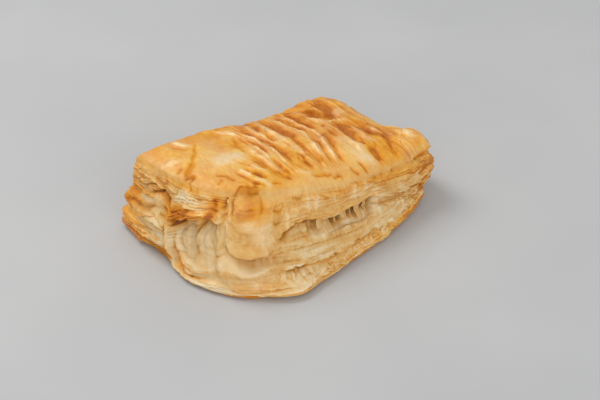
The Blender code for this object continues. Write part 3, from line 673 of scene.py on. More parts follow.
# Pale folds, bands and runs of glaze on the sides. Their points are (lap, row).
SIDE_FOLDS = (
    (1.3, 1.6, 0, ((-0.1, 9), (-0.06, 8.4), (0, 8.6), (0.045, 8.9), (0.07, 9.4))),
    (1.6, 1.6, -0.06, 0.1, ((-0.1, 5.4), (-0.04, 5.5), (0.02, 5.9), (0.07, 6.2), (0.11, 6.2))),
    (2.6, 0.25, -0.16, 0.75, ((0.045, 14.4), (0.042, 12.5), (0.045, 10.5), (0.043, 8.9))),
    (1.4, 0.2, -0.14, 0.5, ((-0.035, 14.2), (-0.012, 13.6), (0, 14.2))),
    (3, 1.1, 0.06, 0.15, ((-0.06, 16.6), (-0.045, 16), (-0.02, 15.4))),
    (0.9, 0.5, -0.12, 0.4, ((-0.12, 13.6), (-0.142, 15.2), (-0.145, 17))),
    (0.9, 0.45, -0.16, 0.3, ((0.045, 6.2), (0.052, 7.6), (0.066, 8.1), (0.078, 7.2), (0.068, 6.2))),
    (1, 0.35, -0.2, 0.4, ((-0.2, 6), (-0.12, 6.1), (-0.05, 5.9), (0.03, 5.8), (0.06, 5.6))),
    (0.9, 0.5, -0.22, 0.2, ((0.125, 5.3), (0.16, 5.2), (0.2, 5.1), (0.225, 5.3))),
    (1.5, 0.3, -0.22, 0.9, ((0.27, 17), (0.275, 15.2), (0.27, 14))),
    (1.4, 0.3, -0.2, 0.85, ((0.32, 17.2), (0.322, 15.3), (0.325, 13.5))),
    (2, 0.35, -0.22, 0.95, ((0.535, 17.6), (0.537, 15.8), (0.54, 14), (0.54, 12.6))),
    (2.2, 0.35, -0.22, 0.9, ((0.665, 14.5), (0.665, 12), (0.662, 10), (0.66, 7.8))),
    (1.8, 0.3, -0.18, 0.8, ((0.8, 13.5), (0.8, 11.5), (0.8, 9))),
    (1.4, 0.25, -0.18, 0.75, ((0.6, 17.4), (0.605, 15.8), (0.605, 14.2))),
    (1, 0.15, -0.12, 0.5, ((0.415, 17), (0.42, 15), (0.42, 13.4))),
    (1.2, 0.15, -0.14, 0.45, ((0.155, 15), (0.16, 13), (0.165, 11.4))),
    (1.6, 0.15, -0.12, 0.5, ((0.905, 14.2), (0.9, 12.4), (0.89, 10.6))),
    (1, 0.3, -0.2, 0.2, ((0.44, 8.4), (0.5, 8.2), (0.56, 7.9), (0.6, 7.9))),
    (0.9, 0.3, -0.16, 0.2, ((0.27, 8.6), (0.33, 8.4), (0.38, 8.8))),
    (0.8, 0.3, -0.14, 0.2, ((0.3, 5.4), (0.35, 5.4), (0.39, 5.7))),
    (0.6, 0.35, -0.18, 0.1, ((0.02, 1.4), (0.1, 1.2), (0.18, 1.4), (0.26, 1.8))),
    (1, 0.2, -0.12, 0.6, ((0, 5), (-0.005, 3), (-0.005, 1))),
    # A band of glaze along the base's edge: painted highlight that lightens the flange.
    (2.8, 0, -0.06, 0.6, ((-0.32, 2.2), (-0.16, 2.4), (0, 2.4), (0.1, 2.4))),
    # Thick end.
    (1.2, 0.5, -0.18, 0.4, ((-0.885, 12), (-0.86, 12.8), (-0.82, 13.5))),
    (1.5, 0.9, -0.2, 0.3, ((-0.74, 10.6), (-0.7, 11.6), (-0.67, 12.2), (-0.64, 12.2))),
    (1, 0.4, -0.1, 0.2, ((-0.9, 9.4), (-0.82, 9.3), (-0.74, 9.6), (-0.68, 10.2))),
    (1, 0.35, -0.12, 0.2, ((-0.95, 6.8), (-0.85, 7), (-0.75, 7.2), (-0.66, 7.8))),
    (1.2, 0.4, -0.2, 0.3, ((-0.59, 14.6), (-0.54, 15), (-0.47, 14.8), (-0.4, 14.4), (-0.33, 14.8))),
    (0.9, 0.4, -0.16, 0.3, ((-0.56, 16.2), (-0.5, 16.4), (-0.42, 16.2))),
    (1, 0.3, -0.12, 0.3, ((-0.4, 13.4), (-0.36, 13.3), (-0.31, 12.6), (-0.285, 11.6))),
    (1.1, 0.8, -0.16, 0.3, ((-0.168, 8.4), (-0.172, 10.4), (-0.17, 12.4), (-0.178, 14.4))),
    (1, 0.3, -0.14, 0.3, ((-0.13, 10), (-0.12, 12.2), (-0.1, 14.2))),
    # The leaf's thin edge.
    (0.8, 0.6, -0.2, 0.2, ((-0.6, 8.8), (-0.595, 6.6), (-0.585, 4.6), (-0.56, 2.6), (-0.52, 1.4), (-0.45, 0.9),
        (-0.38, 1.1), (-0.3, 1.8))),
    (0.9, 1.2, -0.18, 0.2, ((-0.555, 8.2), (-0.545, 6.4), (-0.52, 5.2), (-0.46, 4.6), (-0.38, 4.7), (-0.3, 5),
        (-0.22, 5.4))),
    (2.4, 1.6, -0.06, 0.2, ((-0.5, 8.8), (-0.49, 7.4), (-0.47, 6.2))),
    (2.6, 1.5, -0.06, 0.2, ((-0.31, 8.8), (-0.29, 7.6), (-0.275, 6.4), (-0.27, 5.2))),
    (1.5, 0.3, -0.1, 0.35, ((-0.36, 17.4), (-0.29, 17), (-0.27, 15.6))),
    # Thin end and shut side.
    (1.2, 0.2, -0.12, 0.5, ((1.25, 17), (1.26, 14.5), (1.25, 12))),
    (1.2, 0.2, -0.12, 0.5, ((1.62, 17), (1.6, 14), (1.61, 11.5))),
    (1.2, 0.2, -0.12, 0.5, ((2.22, 17.4), (2.22, 15), (2.23, 12))),
    (1.2, 0.2, -0.12, 0.5, ((2.62, 17.4), (2.6, 14.6), (2.61, 12.4))),
)

# Broad tones of the sides, as (lap, half lap, row, half rows, browning, cream). Cream is raw-looking dough.
SIDE_TONES = (
    (0, 0.14, 7.5, 4.5, 0.14, 0), (-0.01, 0.15, 2.6, 1.2, 0.14, -0.9), (0.03, 0.1, 16, 1.6, -0.01, -0.4),
    (-0.03, 0.07, 16, 1.8, 0.08, -0.4), (0.18, 0.16, 2.6, 1.9, -0.18, 0.4), (0.25, 0.3, 6.4, 1.8, -0.04, 0.3),
    (0.55, 0.1, 7, 1.2, 0.06, -0.3), (0.6, 0.3, 2.2, 1.8, -0.18, -0.2), (0.62, 0.18, 4.6, 1.8, -0.16, 0),
    (0.95, 0.12, 3, 3, -0.14, -0.2), (0.74, 0.15, 6, 3.5, -0.2, 0.2), (-0.75, 0.2, 4, 3, -0.16, 0),
    (0.8, 0.2, 15.8, 1.8, -0.04, -0.6), (0.5, 0.25, 16.8, 1.3, 0.06, -0.4), (0.97, 0.09, 11, 4, -0.12, -0.2),
    (-0.46, 0.16, 7.4, 2.2, -0.14, 0.9), (-0.22, 0.1, 8.2, 1.6, -0.08, 0.7), (-0.1, 0.08, 9.5, 2.6, -0.04, 0.3),
    (-0.46, 0.16, 11.9, 1.7, 0.12, -1.5), (-0.23, 0.05, 14.8, 2.6, 0.22, -1.3), (0.45, 0.5, 8, 2.2, -0.04, 0.2),
    (-0.24, 0.2, 1.8, 1.6, -0.46, 0.6), (-0.8, 0.16, 2, 1.6, -0.04, -1.5), (-0.95, 0.06, 9, 3, -0.04, -0.5),
    (-0.78, 0.14, 7, 4, -0.14, 0.2), (-0.98, 0.06, 15, 3, 0.02, -0.3), (-0.5, 0.2, 17.6, 1, 0.02, -1.2),
    (-0.9, 0.12, 16.8, 1.6, -0.02, -0.2), (-0.9, 0.12, 4.8, 2.4, -0.08, -0.9), (-0.5, 0.12, 15, 1.2, -0.12, 0.6),
    (-0.46, 0.14, 2.6, 1.2, -0.06, -0.2), (0.78, 0.16, 2.8, 2.2, -0.04, -0.5), (1.5, 0.42, 8, 6, 0.08, -0.4),
    (2.5, 0.45, 8, 6, 0.1, -0.5),
)

# Where the layers have baked together and their gaps are faint, as (lap, half lap, row, half rows, share).
CALM = (
    (-0.02, 0.14, 10, 3.2, 1), (-0.02, 0.16, 14.5, 4, 0.8), (0.3, 0.24, 14, 4, 0.4), (-0.35, 0.18, 7, 2.6, 0.8),
    (0.05, 0.2, 4.5, 2.5, 0.6), (-0.5, 0.24, 17.4, 1.2, 0.9), (-0.9, 0.14, 16.2, 2.2, 0.6),
)

# Where the layers have broken into short crumbly flakes, in the same terms.
CRUMBLY = (
    (0.97, 0.05, 12.5, 4.5, 0.8), (0.89, 0.08, 6.5, 3, 0.9), (0.66, 0.16, 3.8, 1.7, 1), (0.8, 0.06, 8.6, 2.4, 0.7),
    (0.34, 0.2, 2.6, 1.6, 0.6), (0.16, 0.1, 4, 1.2, 0.6), (-0.92, 0.08, 12.5, 4, 0.7), (-0.85, 0.12, 5.5, 2.5, 0.3),
    (-0.5, 0.2, 15.5, 1.6, 0.4), (1.5, 0.5, 8, 7, 0.5), (2.2, 0.3, 8, 7, 0.5),
)

# Where the upper lip of the mouth ends, as (lap, row).
LIP = (
    (0.1, 10), (0.15, 10.5), (0.2, 11.2), (0.24, 11.5), (0.27, 11.3), (0.34, 11.1), (0.4, 11.3), (0.46, 11.8),
    (0.5, 12.1), (0.62, 12.2), (0.66, 11), (0.72, 10), (3.99, 10),
)

# How far the mouth opens behind its lip, as (lap, share of its full depth): open pockets between torn crumb.
POCKETS = (
    (0.1, 0.1), (0.155, 0.75), (0.2, 1), (0.238, 1), (0.25, 0.3), (0.265, 0.3), (0.28, 0.9), (0.33, 0.9),
    (0.345, 0.4), (0.4, 0.4), (0.415, 0.85), (0.46, 0.8), (0.47, 0.45), (0.498, 0.5), (0.505, 0.95), (0.517, 0.55),
    (0.528, 0.6), (0.536, 0.95), (0.57, 1), (0.577, 0.5), (0.588, 0.5), (0.594, 1.05), (0.62, 1.05), (0.635, 0.3),
    (0.66, 0.2), (0.8, 0.6), (2.95, 0.6), (3, 0.05), (3.22, 0.05), (3.28, 0.4), (3.36, 0.1), (3.99, 0),
)

# Thin flakes that peel from the sides, as (reach, thickness, tilt, browning, cream, points by lap and row). Where a
# flake's sink and raggedness aren't the usual ones, they stand after its points.
FLAKES = (
    # The leaf that rims the hollow, and the fold inside it.
    (2.2, 1, 0, 0.12, 0.75, ((3.402, 9.6), (3.402, 7.4), (3.408, 5.4), (3.43, 3.6), (3.465, 2.4)), 0.5, 0.1),
    (1.1, 0.9, 0.1, 0.12, 0.75, ((3.425, 3.9), (3.45, 2.9), (3.485, 1.9), (3.54, 1.1), (3.62, 0.9), (3.72, 1.1),
        (3.82, 1.7)), 0.6, 0.1),
    (1.2, 0.8, 0.1, 0.2, 0.6, ((3.435, 8.4), (3.45, 6.4), (3.48, 5), (3.54, 4.5), (3.62, 4.4), (3.72, 4.8),
        (3.82, 5.3)), 0.3, 0.15),
    # Lobes of the thick end, carried round its back corner.
    (1.2, 0.5, -0.2, 0.35, 0.2, ((2.9, 9.9), (2.97, 9.8), (3.03, 9.9), (3.12, 9.8), (3.22, 10.1), (3.3, 10.6))),
    (1, 0.5, 0.25, 0.38, 0.1, ((2.94, 8.9), (3, 9), (3.07, 8.8), (3.16, 8.8), (3.26, 9.2))),
    (0.9, 0.5, 0.1, 0.36, 0.1, ((2.93, 7.6), (3, 7.7), (3.08, 7.5), (3.18, 7.7), (3.3, 8.4))),
    (1.1, 0.5, 0.2, 0.38, 0.1, ((2.94, 5.9), (3, 5.8), (3.09, 5.6), (3.2, 6), (3.33, 6.8))),
    (0.8, 0.4, 0.15, 0.34, 0.2, ((2.97, 4.4), (3.04, 4.3), (3.14, 4.6), (3.26, 5.2), (3.36, 6))),
    (0.9, 0.5, 0.1, 0.6, 0, ((2.92, 2.8), (3, 2.7), (3.1, 2.6), (3.22, 3.1), (3.34, 3.8))),
    (0.8, 0.5, 0, 0.6, 0, ((2.94, 1.3), (3.04, 1.2), (3.16, 1.3), (3.3, 1.8), (3.42, 2))),
    (0.9, 0.4, -0.1, 0.3, 0.4, ((2.96, 13.4), (3.02, 13.3), (3.1, 13.3), (3.17, 13.8), (3.23, 14.4))),
    (0.9, 0.4, 0, 0.25, 0.5, ((2.98, 15.2), (3.05, 15.1), (3.16, 15), (3.28, 14.6), (3.37, 14.3))),
    (0.8, 0.4, 0.1, 0.3, 0.5, ((3.02, 11.5), (3.08, 11.5), (3.14, 11.5))),
    # Pale flakes on the fold over the hollow.
    (1.2, 0.4, -0.25, 0.2, 0.7, ((3.42, 14.2), (3.5, 14), (3.58, 13.5), (3.67, 13.4), (3.75, 13.8))),
    (1, 0.4, -0.2, 0.16, 0.8, ((3.44, 15.6), (3.52, 15.7), (3.62, 15.4), (3.7, 15.2))),
    (1.1, 0.5, -0.45, 0.62, 0, ((3.42, 10.4), (3.46, 10.7), (3.52, 10.9), (3.58, 11.4), (3.64, 11.6)), 0.1, 0.7),
    # Flakes at the right corner.
    (1.6, 0.9, 0.1, 0.42, 0, ((0.9, 17.9), (0.94, 17.8), (0.98, 17.7), (1.02, 17.8), (1.07, 17.9)), 0.2, 0.3),
    (1.4, 0.5, 0.25, 0.5, 0, ((0.91, 11.8), (0.95, 11.9), (1, 12), (1.06, 11.8), (1.12, 11.9))),
    (1, 0.5, 0.1, 0.5, 0.1, ((0.86, 14.4), (0.92, 14.2), (0.98, 14.1), (1.05, 14.3))),
    (0.9, 0.5, 0.1, 0.5, 0.1, ((0.84, 9.4), (0.91, 9.3), (0.98, 9.2), (1.06, 9.4))),
    (0.9, 0.5, 0, 0.55, 0.1, ((0.8, 6.9), (0.88, 6.8), (0.96, 6.6), (1.04, 6.8))),
    (0.8, 0.5, 0, 0.45, 0.2, ((0.74, 4.6), (0.84, 4.4), (0.94, 4.4), (1.04, 4.6))),
    (0.8, 0.5, 0, 0.45, 0.1, ((0.7, 2.4), (0.82, 2.2), (0.94, 2.3), (1.06, 2.6))),
    # Open side: upper lip, the layers over and under the mouth, the seam and the base's edge.
    (0.9, 0.4, 0.1, 0.3, 0.4, ((0.1, 4.5), (0.16, 4.4), (0.24, 4.5), (0.32, 4.7), (0.42, 5))),
    (0.7, 0.4, 0.1, 0.25, 0.5, ((0.14, 5.6), (0.22, 5.6), (0.32, 5.9), (0.42, 6.2))),
    (0.9, 0.4, 0.15, 0.35, 0.3, ((0.4, 4.8), (0.48, 5), (0.56, 4.6), (0.64, 4.6), (0.72, 4.8))),
    (0.7, 0.4, 0, 0.32, 0.2, ((0.02, 1.2), (0.14, 1), (0.28, 1.4), (0.42, 1.6))),
    (0.7, 0.4, 0, 0.34, 0.2, ((0.36, 2.5), (0.48, 2.3), (0.6, 2.2), (0.7, 2.4))),
    (0.6, 0.4, 0, 0.28, 0.3, ((-0.14, 1.8), (-0.04, 1.6), (0.06, 1.8), (0.14, 2.1))),
    (0.7, 0.4, 0.1, 0.25, 0.6, ((0.36, 8.2), (0.46, 8.3), (0.54, 8), (0.62, 8.1))),
    (0.7, 0.4, 0, 0.3, 0.5, ((0.62, 9.2), (0.7, 8.8), (0.76, 9), (0.82, 9.2))),
    (0.8, 0.4, -0.2, 0.3, 0.4, ((0.22, 12.2), (0.32, 12), (0.42, 12.4), (0.5, 12.9))),
    (0.8, 0.4, -0.2, 0.3, 0.4, ((0.48, 13.2), (0.57, 13.4), (0.66, 12.6), (0.74, 12))),
    (0.7, 0.4, -0.1, 0.34, 0.3, ((0.3, 14.3), (0.4, 14.2), (0.5, 14.8), (0.6, 15))),
    (0.7, 0.4, -0.1, 0.34, 0.2, ((0.58, 16.4), (0.68, 15.8), (0.78, 15.9), (0.86, 15.6))),
    (0.6, 0.4, 0, 0.3, 0.3, ((0.16, 15.8), (0.24, 15.9), (0.32, 15.6))),
    # Thin end and shut side.
    (1, 0.5, 0.1, 0.5, 0.1, ((1.1, 14.8), (1.25, 14.6), (1.4, 15), (1.55, 14.8))),
    (1, 0.5, 0.1, 0.5, 0.1, ((1.2, 10.8), (1.38, 10.4), (1.58, 10.8), (1.8, 10.4))),
    (0.8, 0.5, 0.1, 0.4, 0.3, ((1.08, 8.2), (1.26, 8), (1.44, 8.2))),
    (0.8, 0.5, 0.1, 0.45, 0.2, ((1.5, 7.2), (1.7, 7), (1.9, 7.4), (2.04, 7.2))),
    (1, 0.5, 0, 0.5, 0, ((1.12, 4.2), (1.4, 4), (1.66, 4.4), (1.92, 4.2))),
    (0.8, 0.5, 0, 0.5, 0, ((1.2, 1.6), (1.5, 1.4), (1.8, 1.6), (2.06, 1.6))),
    (0.9, 0.5, 0, 0.45, 0.1, ((1.64, 13), (1.8, 12.8), (1.96, 13.2), (2.06, 13))),
    (1, 0.5, 0.1, 0.5, 0.1, ((2.02, 15.2), (2.16, 15), (2.3, 15.4), (2.44, 15.2))),
    (1, 0.5, 0.1, 0.5, 0.1, ((2.1, 11.2), (2.28, 10.8), (2.46, 11.2), (2.64, 10.9), (2.8, 11.2))),
    (0.8, 0.5, 0, 0.4, 0.3, ((2.2, 8.4), (2.36, 8.2), (2.52, 8.5), (2.66, 8.3))),
    (0.9, 0.5, 0.1, 0.45, 0.2, ((2.5, 13.6), (2.64, 13.4), (2.78, 13.8), (2.92, 13.6))),
    (0.9, 0.5, 0, 0.5, 0, ((2.06, 6), (2.24, 5.8), (2.44, 6.2))),
    (0.9, 0.5, 0, 0.5, 0, ((2.5, 4.6), (2.7, 4.3), (2.88, 4.6))),
    (0.8, 0.5, 0, 0.5, 0, ((2.1, 2), (2.36, 1.8), (2.62, 2), (2.86, 1.8))),
)

# Torn dough that hangs between the lips of the mouth, in the same terms as the flakes.
STRANDS = (
    (0.5, 1.6, 0, 0.32, 0.9, ((0.17, 7.4), (0.178, 9.8), (0.172, 12.2)), 3.2, 0.3),
    (0.5, 2.6, 0, 0.28, 0.9, ((0.246, 6.8), (0.256, 9.6), (0.262, 12.6)), 2.4, 0.3),
    (0.5, 0.9, 0, 0.36, 0.9, ((0.31, 7), (0.303, 9.6), (0.296, 12.6)), 3.6, 0.3),
    (0.5, 3, 0, 0.28, 0.9, ((0.352, 6.8), (0.35, 9.6), (0.362, 12.8)), 2.4, 0.3),
    (0.5, 1.2, 0, 0.32, 0.9, ((0.408, 7), (0.396, 9.8), (0.392, 13)), 3, 0.3),
    (0.4, 0.8, 0, 0.36, 0.9, ((0.428, 6.8), (0.438, 9.8), (0.44, 13)), 3.8, 0.3),
    (0.5, 2.6, 0, 0.28, 0.9, ((0.492, 6.6), (0.482, 9.8), (0.486, 13.4)), 2.6, 0.3),
    (0.4, 0.8, 0, 0.34, 0.9, ((0.53, 6.6), (0.522, 9.8), (0.512, 13.6)), 3.2, 0.3),
    (0.5, 2.4, 0, 0.3, 0.9, ((0.566, 6.6), (0.556, 9.8), (0.562, 13.6)), 2.2, 0.3),
    (0.5, 1.3, 0, 0.3, 0.9, ((0.588, 6.8), (0.598, 10), (0.594, 13.6)), 2.2, 0.3),
)

# Strokes: the share of its length over which each end tapers, the half widths from its line within which it is felt,
# and the strength of the sharp core that all have but the broad ones, with a half width of this many mm or more.
TAPER = 0.22
STROKE_REACH = 4.5
CORE = 0.35
BROAD = 2.5

# The dough before any mark is on it: how far the top's skin stands over the solid in mm, and shares of browning,
# glaze and cream. The sides' skin lies on the solid.
TOP_RISE = 0.4
BROWNING = 0.38
TOP_GLAZE = 0.14
SIDE_GLAZE = 0.12
SIDE_CREAM = 0.60
EDGE_CREAM = 0.35

# Browning of the top goes no further than this: only the fold over the hollow is scorched.
TOP_DARKEST = 0.80

# How much of its strokes' browning a groove of the top and a gap of the sides shows, and the glaze lost with it. A
# gap's browning is partly painted shade.
GROOVE_BROWNING = 0.62
GAP_PAINTED_SHADE = 0.8
DRIED_GLAZE = 0.9

# How each fine mark of the top shows, as (mm of rise, browning, glaze).
TOP_MARKS = {
    "wrinkle": (0.50, -0.15, 0.14),
    "thread": (0.36, -0.14, 0.12),
    "crackle": (0.10, 0.05, 0.0),
    "streak": (-0.30, 0.30, 0.0),
    "flap": (0.16, -0.05, 0.0),
    "blotch": (0.0, 0.08, 0.14),
}

# How each fine mark of the sides shows, as (mm of rise, browning, glaze, cream). A notch is as deep as the layer gap
# of the settings. The browning of notches and cracks is painted shade in them.
SIDE_MARKS = {
    "notch": (0.0, 0.26, 0.0, 0.0),
    "torn": (0.26, 0.0, 0.0, 0.0),
    "chip": (0.65, -0.15, 0.0, 0.0),
    "crack": (-0.90, 0.38, 0.0, 0.0),
    "tint": (0.0, 0.15, 0.0, -0.16),
    "fleck": (0.0, 0.10, 0.10, 0.0),
}

# Thin layers to each row of the solid's lattice, and the height of a row in mm.
LAYERS_PER_ROW = 1.55
ROW_HEIGHT = 1.8

# Length round the sides in mm at each lap, counted both ways from the knob.
LENGTH_AT_LAP = ((-2.0, -170.0), (-1.0, -70.0), (0.0, 0.0), (1.0, 100.0), (2.0, 165.0), (3.0, 265.0))

# Corners of the oblong that the sides' random waves run round, as (x, y) in mm, from lap 0 on.
GRAIN_CORNERS = ((-50.0, -33.0), (50.0, -33.0), (50.0, 33.0), (-50.0, 33.0))

# Dough that makes the solid's crevices narrower, as shares of their depth, and its hollow and foot, in mm.
SEAM_FILL = 0.55
UNDERCUT_FILL = 0.5
HOLLOW_FILL = 2.6
FOOT_FILL = 0.6

# The lower layers reach up behind the mouth's upper lip to this row, tucked in by this many mm. The crust's roof
# reaches in from the lip and rises a little, and darkens with painted shade as it goes in.
LOWER_TOP_ROW = 12.8
TUCK = 1.3
ROOF_DEPTH = 12.0
ROOF_RISE = 1.0
ROOF_PAINTED_SHADE = 0.4

# The back of the mouth: its browning, which is painted shade deepening with the recess, and cream, and the fibres of
# crumb in it, by mm of rise and paleness.
MOUTH_PAINTED_SHADE = 0.52
MOUTH_CREAM = 0.5
FIBRE_RISE = 0.5
FIBRE_PALENESS = 0.16

# Flakes and strands: faces from point to point and round each sheet, mm that its inner edge goes into the dough, and
# the sink and raggedness that most of them have.
SHEET_STEPS = 14
SHEET_ROUND = 10
SHEET_ROOT = 0.8
SHEET_SINK = 0.2
SHEET_RAG = 0.7

# The underside: its browning, and the share of its plan that lies flat inside the rim.
UNDERSIDE_BROWNING = 0.55
FLAT_SHARE = 0.90


def curve(points, steps=5):
    """A smooth line through the given points."""
    knots = np.array(points, dtype=float)
    ends = np.vstack([2 * knots[0] - knots[1], knots, 2 * knots[-1] - knots[-2]])
    t = np.arange(steps)[:, None] / steps
    pieces = []
    for before, start, stop, after in zip(ends, ends[1:], ends[2:], ends[3:]):
        bend = (2 * before - 5 * start + 4 * stop - after) * t**2
        turn = (3 * start - before - 3 * stop + after) * t**3
        pieces.append(0.5 * (2 * start + (stop - before) * t + bend + turn))
    return np.vstack([*pieces, knots[-1:]])


def nearest(line, x, y):
    """Distance from a line, and how far along it the closest point is."""
    best = np.full(x.size, np.inf)
    share = np.zeros(x.size)
    last = len(line) - 1
    for number, (start, stop) in enumerate(zip(line, line[1:])):
        way = stop - start
        t = np.clip(((x - start[0]) * way[0] + (y - start[1]) * way[1]) / (way @ way), 0.0, 1.0)
        gap = np.hypot(x - start[0] - t * way[0], y - start[1] - t * way[1])
        closer = gap < best
        best = np.where(closer, gap, best)
        share = np.where(closer, (number + t) / last, share)
    return best, share


def brush(x, y, strokes, place=None):
    """Rise, browning and glaze that a table of strokes adds at each point."""
    total = np.zeros((3, x.size))
    for half_width, *gains, points in strokes:
        if place is not None:
            points = np.stack(place(*np.array(points, dtype=float).T), axis=1)
        line = curve(points)
        reach = STROKE_REACH * half_width
        low, high = line.min(axis=0) - reach, line.max(axis=0) + reach
        near = np.flatnonzero((x > low[0]) & (x < high[0]) & (y > low[1]) & (y < high[1]))
        if near.size == 0:
            continue
        gap, share = nearest(line, x[near], y[near])
        # It narrows and fades towards both ends.
        taper = smooth(0.0, TAPER, share) * smooth(1.0, 1.0 - TAPER, share)
        width = half_width * (0.5 + 0.5 * taper)
        # Across it lie a sharp core, a body and a soft skirt.
        core = CORE if half_width < BROAD else 0.0
        shape = core * hump(gap, 0.0, 0.42 * width) + 0.62 * hump(gap, 0.0, width)
        shape = shape + (0.38 - 0.4 * core) * hump(gap, 0.0, 2.1 * width)
        total[:len(gains), near] += np.outer(gains, shape * (0.3 + 0.7 * taper))
    return total


def from_knob(lap):
    """A lap counted from -1.5 to 2.5, so that it runs on across the knob at 0."""
    return np.mod(lap + 1.5, 4.0) - 1.5


def unrolled(lap, row):
    """Length round the sides and height up them, in millimetres, for a lap and a row."""
    return np.interp(from_knob(lap), *zip(*LENGTH_AT_LAP)), ROW_HEIGHT * row


def grain(lap, size, level, seed):
    """Soft random waves round the sides, which meet again where the round closes."""
    x, y = (np.interp(lap, range(4), places, period=4.0) for places in zip(*GRAIN_CORNERS))
    return noise(x / size + 0.37 + 0.43 * level, level - 0.22 * (x + y) / size, y / size + 0.61, seed)


def spot(lap, centre, half_lap, row, level, half_rows):
    """Soft patch of the sides, which runs on where the round closes."""
    return hump(np.mod(lap - centre + 2.0, 4.0) - 2.0, 0.0, half_lap) * hump(row, level, half_rows)


def flow(x, y):
    """Which pleat a place on the top belongs to, from 0 to 8."""
    lines = [np.interp(y, FLOW_Y, line) for line in FLOW]
    return sum(np.clip((x - low) / (high - low), 0.0, 1.0) for low, high in zip(lines, lines[1:]))


def fill_out(lap, row):
    """Dough that fills part of the solid's deep crevices, where the real ones are narrower."""
    lap = np.mod(lap, 4.0)
    turned = from_knob(lap)
    knob = hump(turned, 0.0, 0.12)
    fill = (SEAM_FILL + 0.35 * knob) * crevice(lap, row, SEAM, SEAM_ROW, 0.7, 0.8)
    lobes = window(turned, -1.0, -0.58, 0.04)
    fill = fill + (UNDERCUT_FILL + 0.3 * lobes) * crevice(lap, row, UNDERCUT, UNDERCUT_ROW, 0.7, 1.0)
    return fill + FOOT_FILL * (1.0 - smooth(1.0, 3.5, row)) + HOLLOW_FILL * in_hollow(lap, row)


def waves(x, y, long, wide, seed):
    """Soft random waves over the top, so many millimetres long and wide."""
    return noise(x / long, y / wide, 0.0 * x, seed)


def add_up(table, **marks):
    """What the marks add together, one row for each column of their table."""
    return sum(np.outer(table[name], strength) for name, strength in marks.items())


def top_relief(x, y):
    """Height, browning and glaze of the top at high detail."""
    warp_x = x + 0.36 * waves(x, y, 2.6, 4.0, 70) + 0.18 * waves(x, y, 1.1, 1.7, 69)
    warp_y = y + 0.6 * waves(x, y, 3.0, 3.0, 68)
    grooves = brush(warp_x, warp_y, GROOVES)
    ridges = brush(warp_x, warp_y, RIDGES)
    patchy = 1.0 + 0.45 * waves(x, y, 1.6, 2.4, 78)
    # The thick end and the strip beside the mouth are smoother than the rest.
    busy = 0.30 + 0.70 * smooth(-26.0, -8.0, x + 0.3 * np.abs(y - 8.0))
    busy = busy * (1.0 - 0.8 * smooth(-8.0, -15.0, y) * smooth(46.0, 34.0, x))
    # Fine marks that run with the pleats: five wrinkles, nine threads and six streaks to each.
    pleat = flow(x, y) + 0.10 * waves(x, y, 5.0, 6.0, 67) + 0.04 * waves(x, y, 1.8, 2.5, 66)
    streak = hump(waves(pleat * 6.0 + 9.0, y, 1.0, 9.0, 76), 0.0, 0.10)
    marks = add_up(
        TOP_MARKS,
        wrinkle=busy * waves(pleat * 5.0, y, 1.0, 9.0, 71),
        thread=busy * waves(pleat * 9.5 + 3.0, y, 1.0, 6.0, 72),
        streak=busy * streak * smooth(-0.2, 0.5, waves(x, y, 5.0, 7.0, 77)),
        crackle=waves(x, y, 0.8, 1.3, 73),
        blotch=waves(x, y, 5.5, 6.5, 74) + 0.6 * waves(x, y, 2.4, 2.9, 75),
        flap=smooth(0.10, 0.16, waves(x + 21.0, y, 7.0, 3.2, 65)) * smooth(-0.3, 0.3, waves(x, y, 9.0, 9.0, 64)),
    )
    rise = settings().pleat_height / MM * (grooves[0] + ridges[0]) + TOP_RISE + marks[0]
    brown = BROWNING + GROOVE_BROWNING * grooves[1] * patchy + ridges[1] + marks[1]
    glaze = TOP_GLAZE + grooves[2] + ridges[2] - DRIED_GLAZE * grooves[1] + marks[2]
    # The tones' glaze is partly painted highlight.
    for centre_x, half_length, centre_y, half_width, tan, glaze_and_glare in TOP_TONES:
        place = hump(x, centre_x, half_length) * hump(y, centre_y, half_width)
        brown, glaze = brown + tan * place, glaze + glaze_and_glare * place
    return rise, np.minimum(brown, TOP_DARKEST), glaze


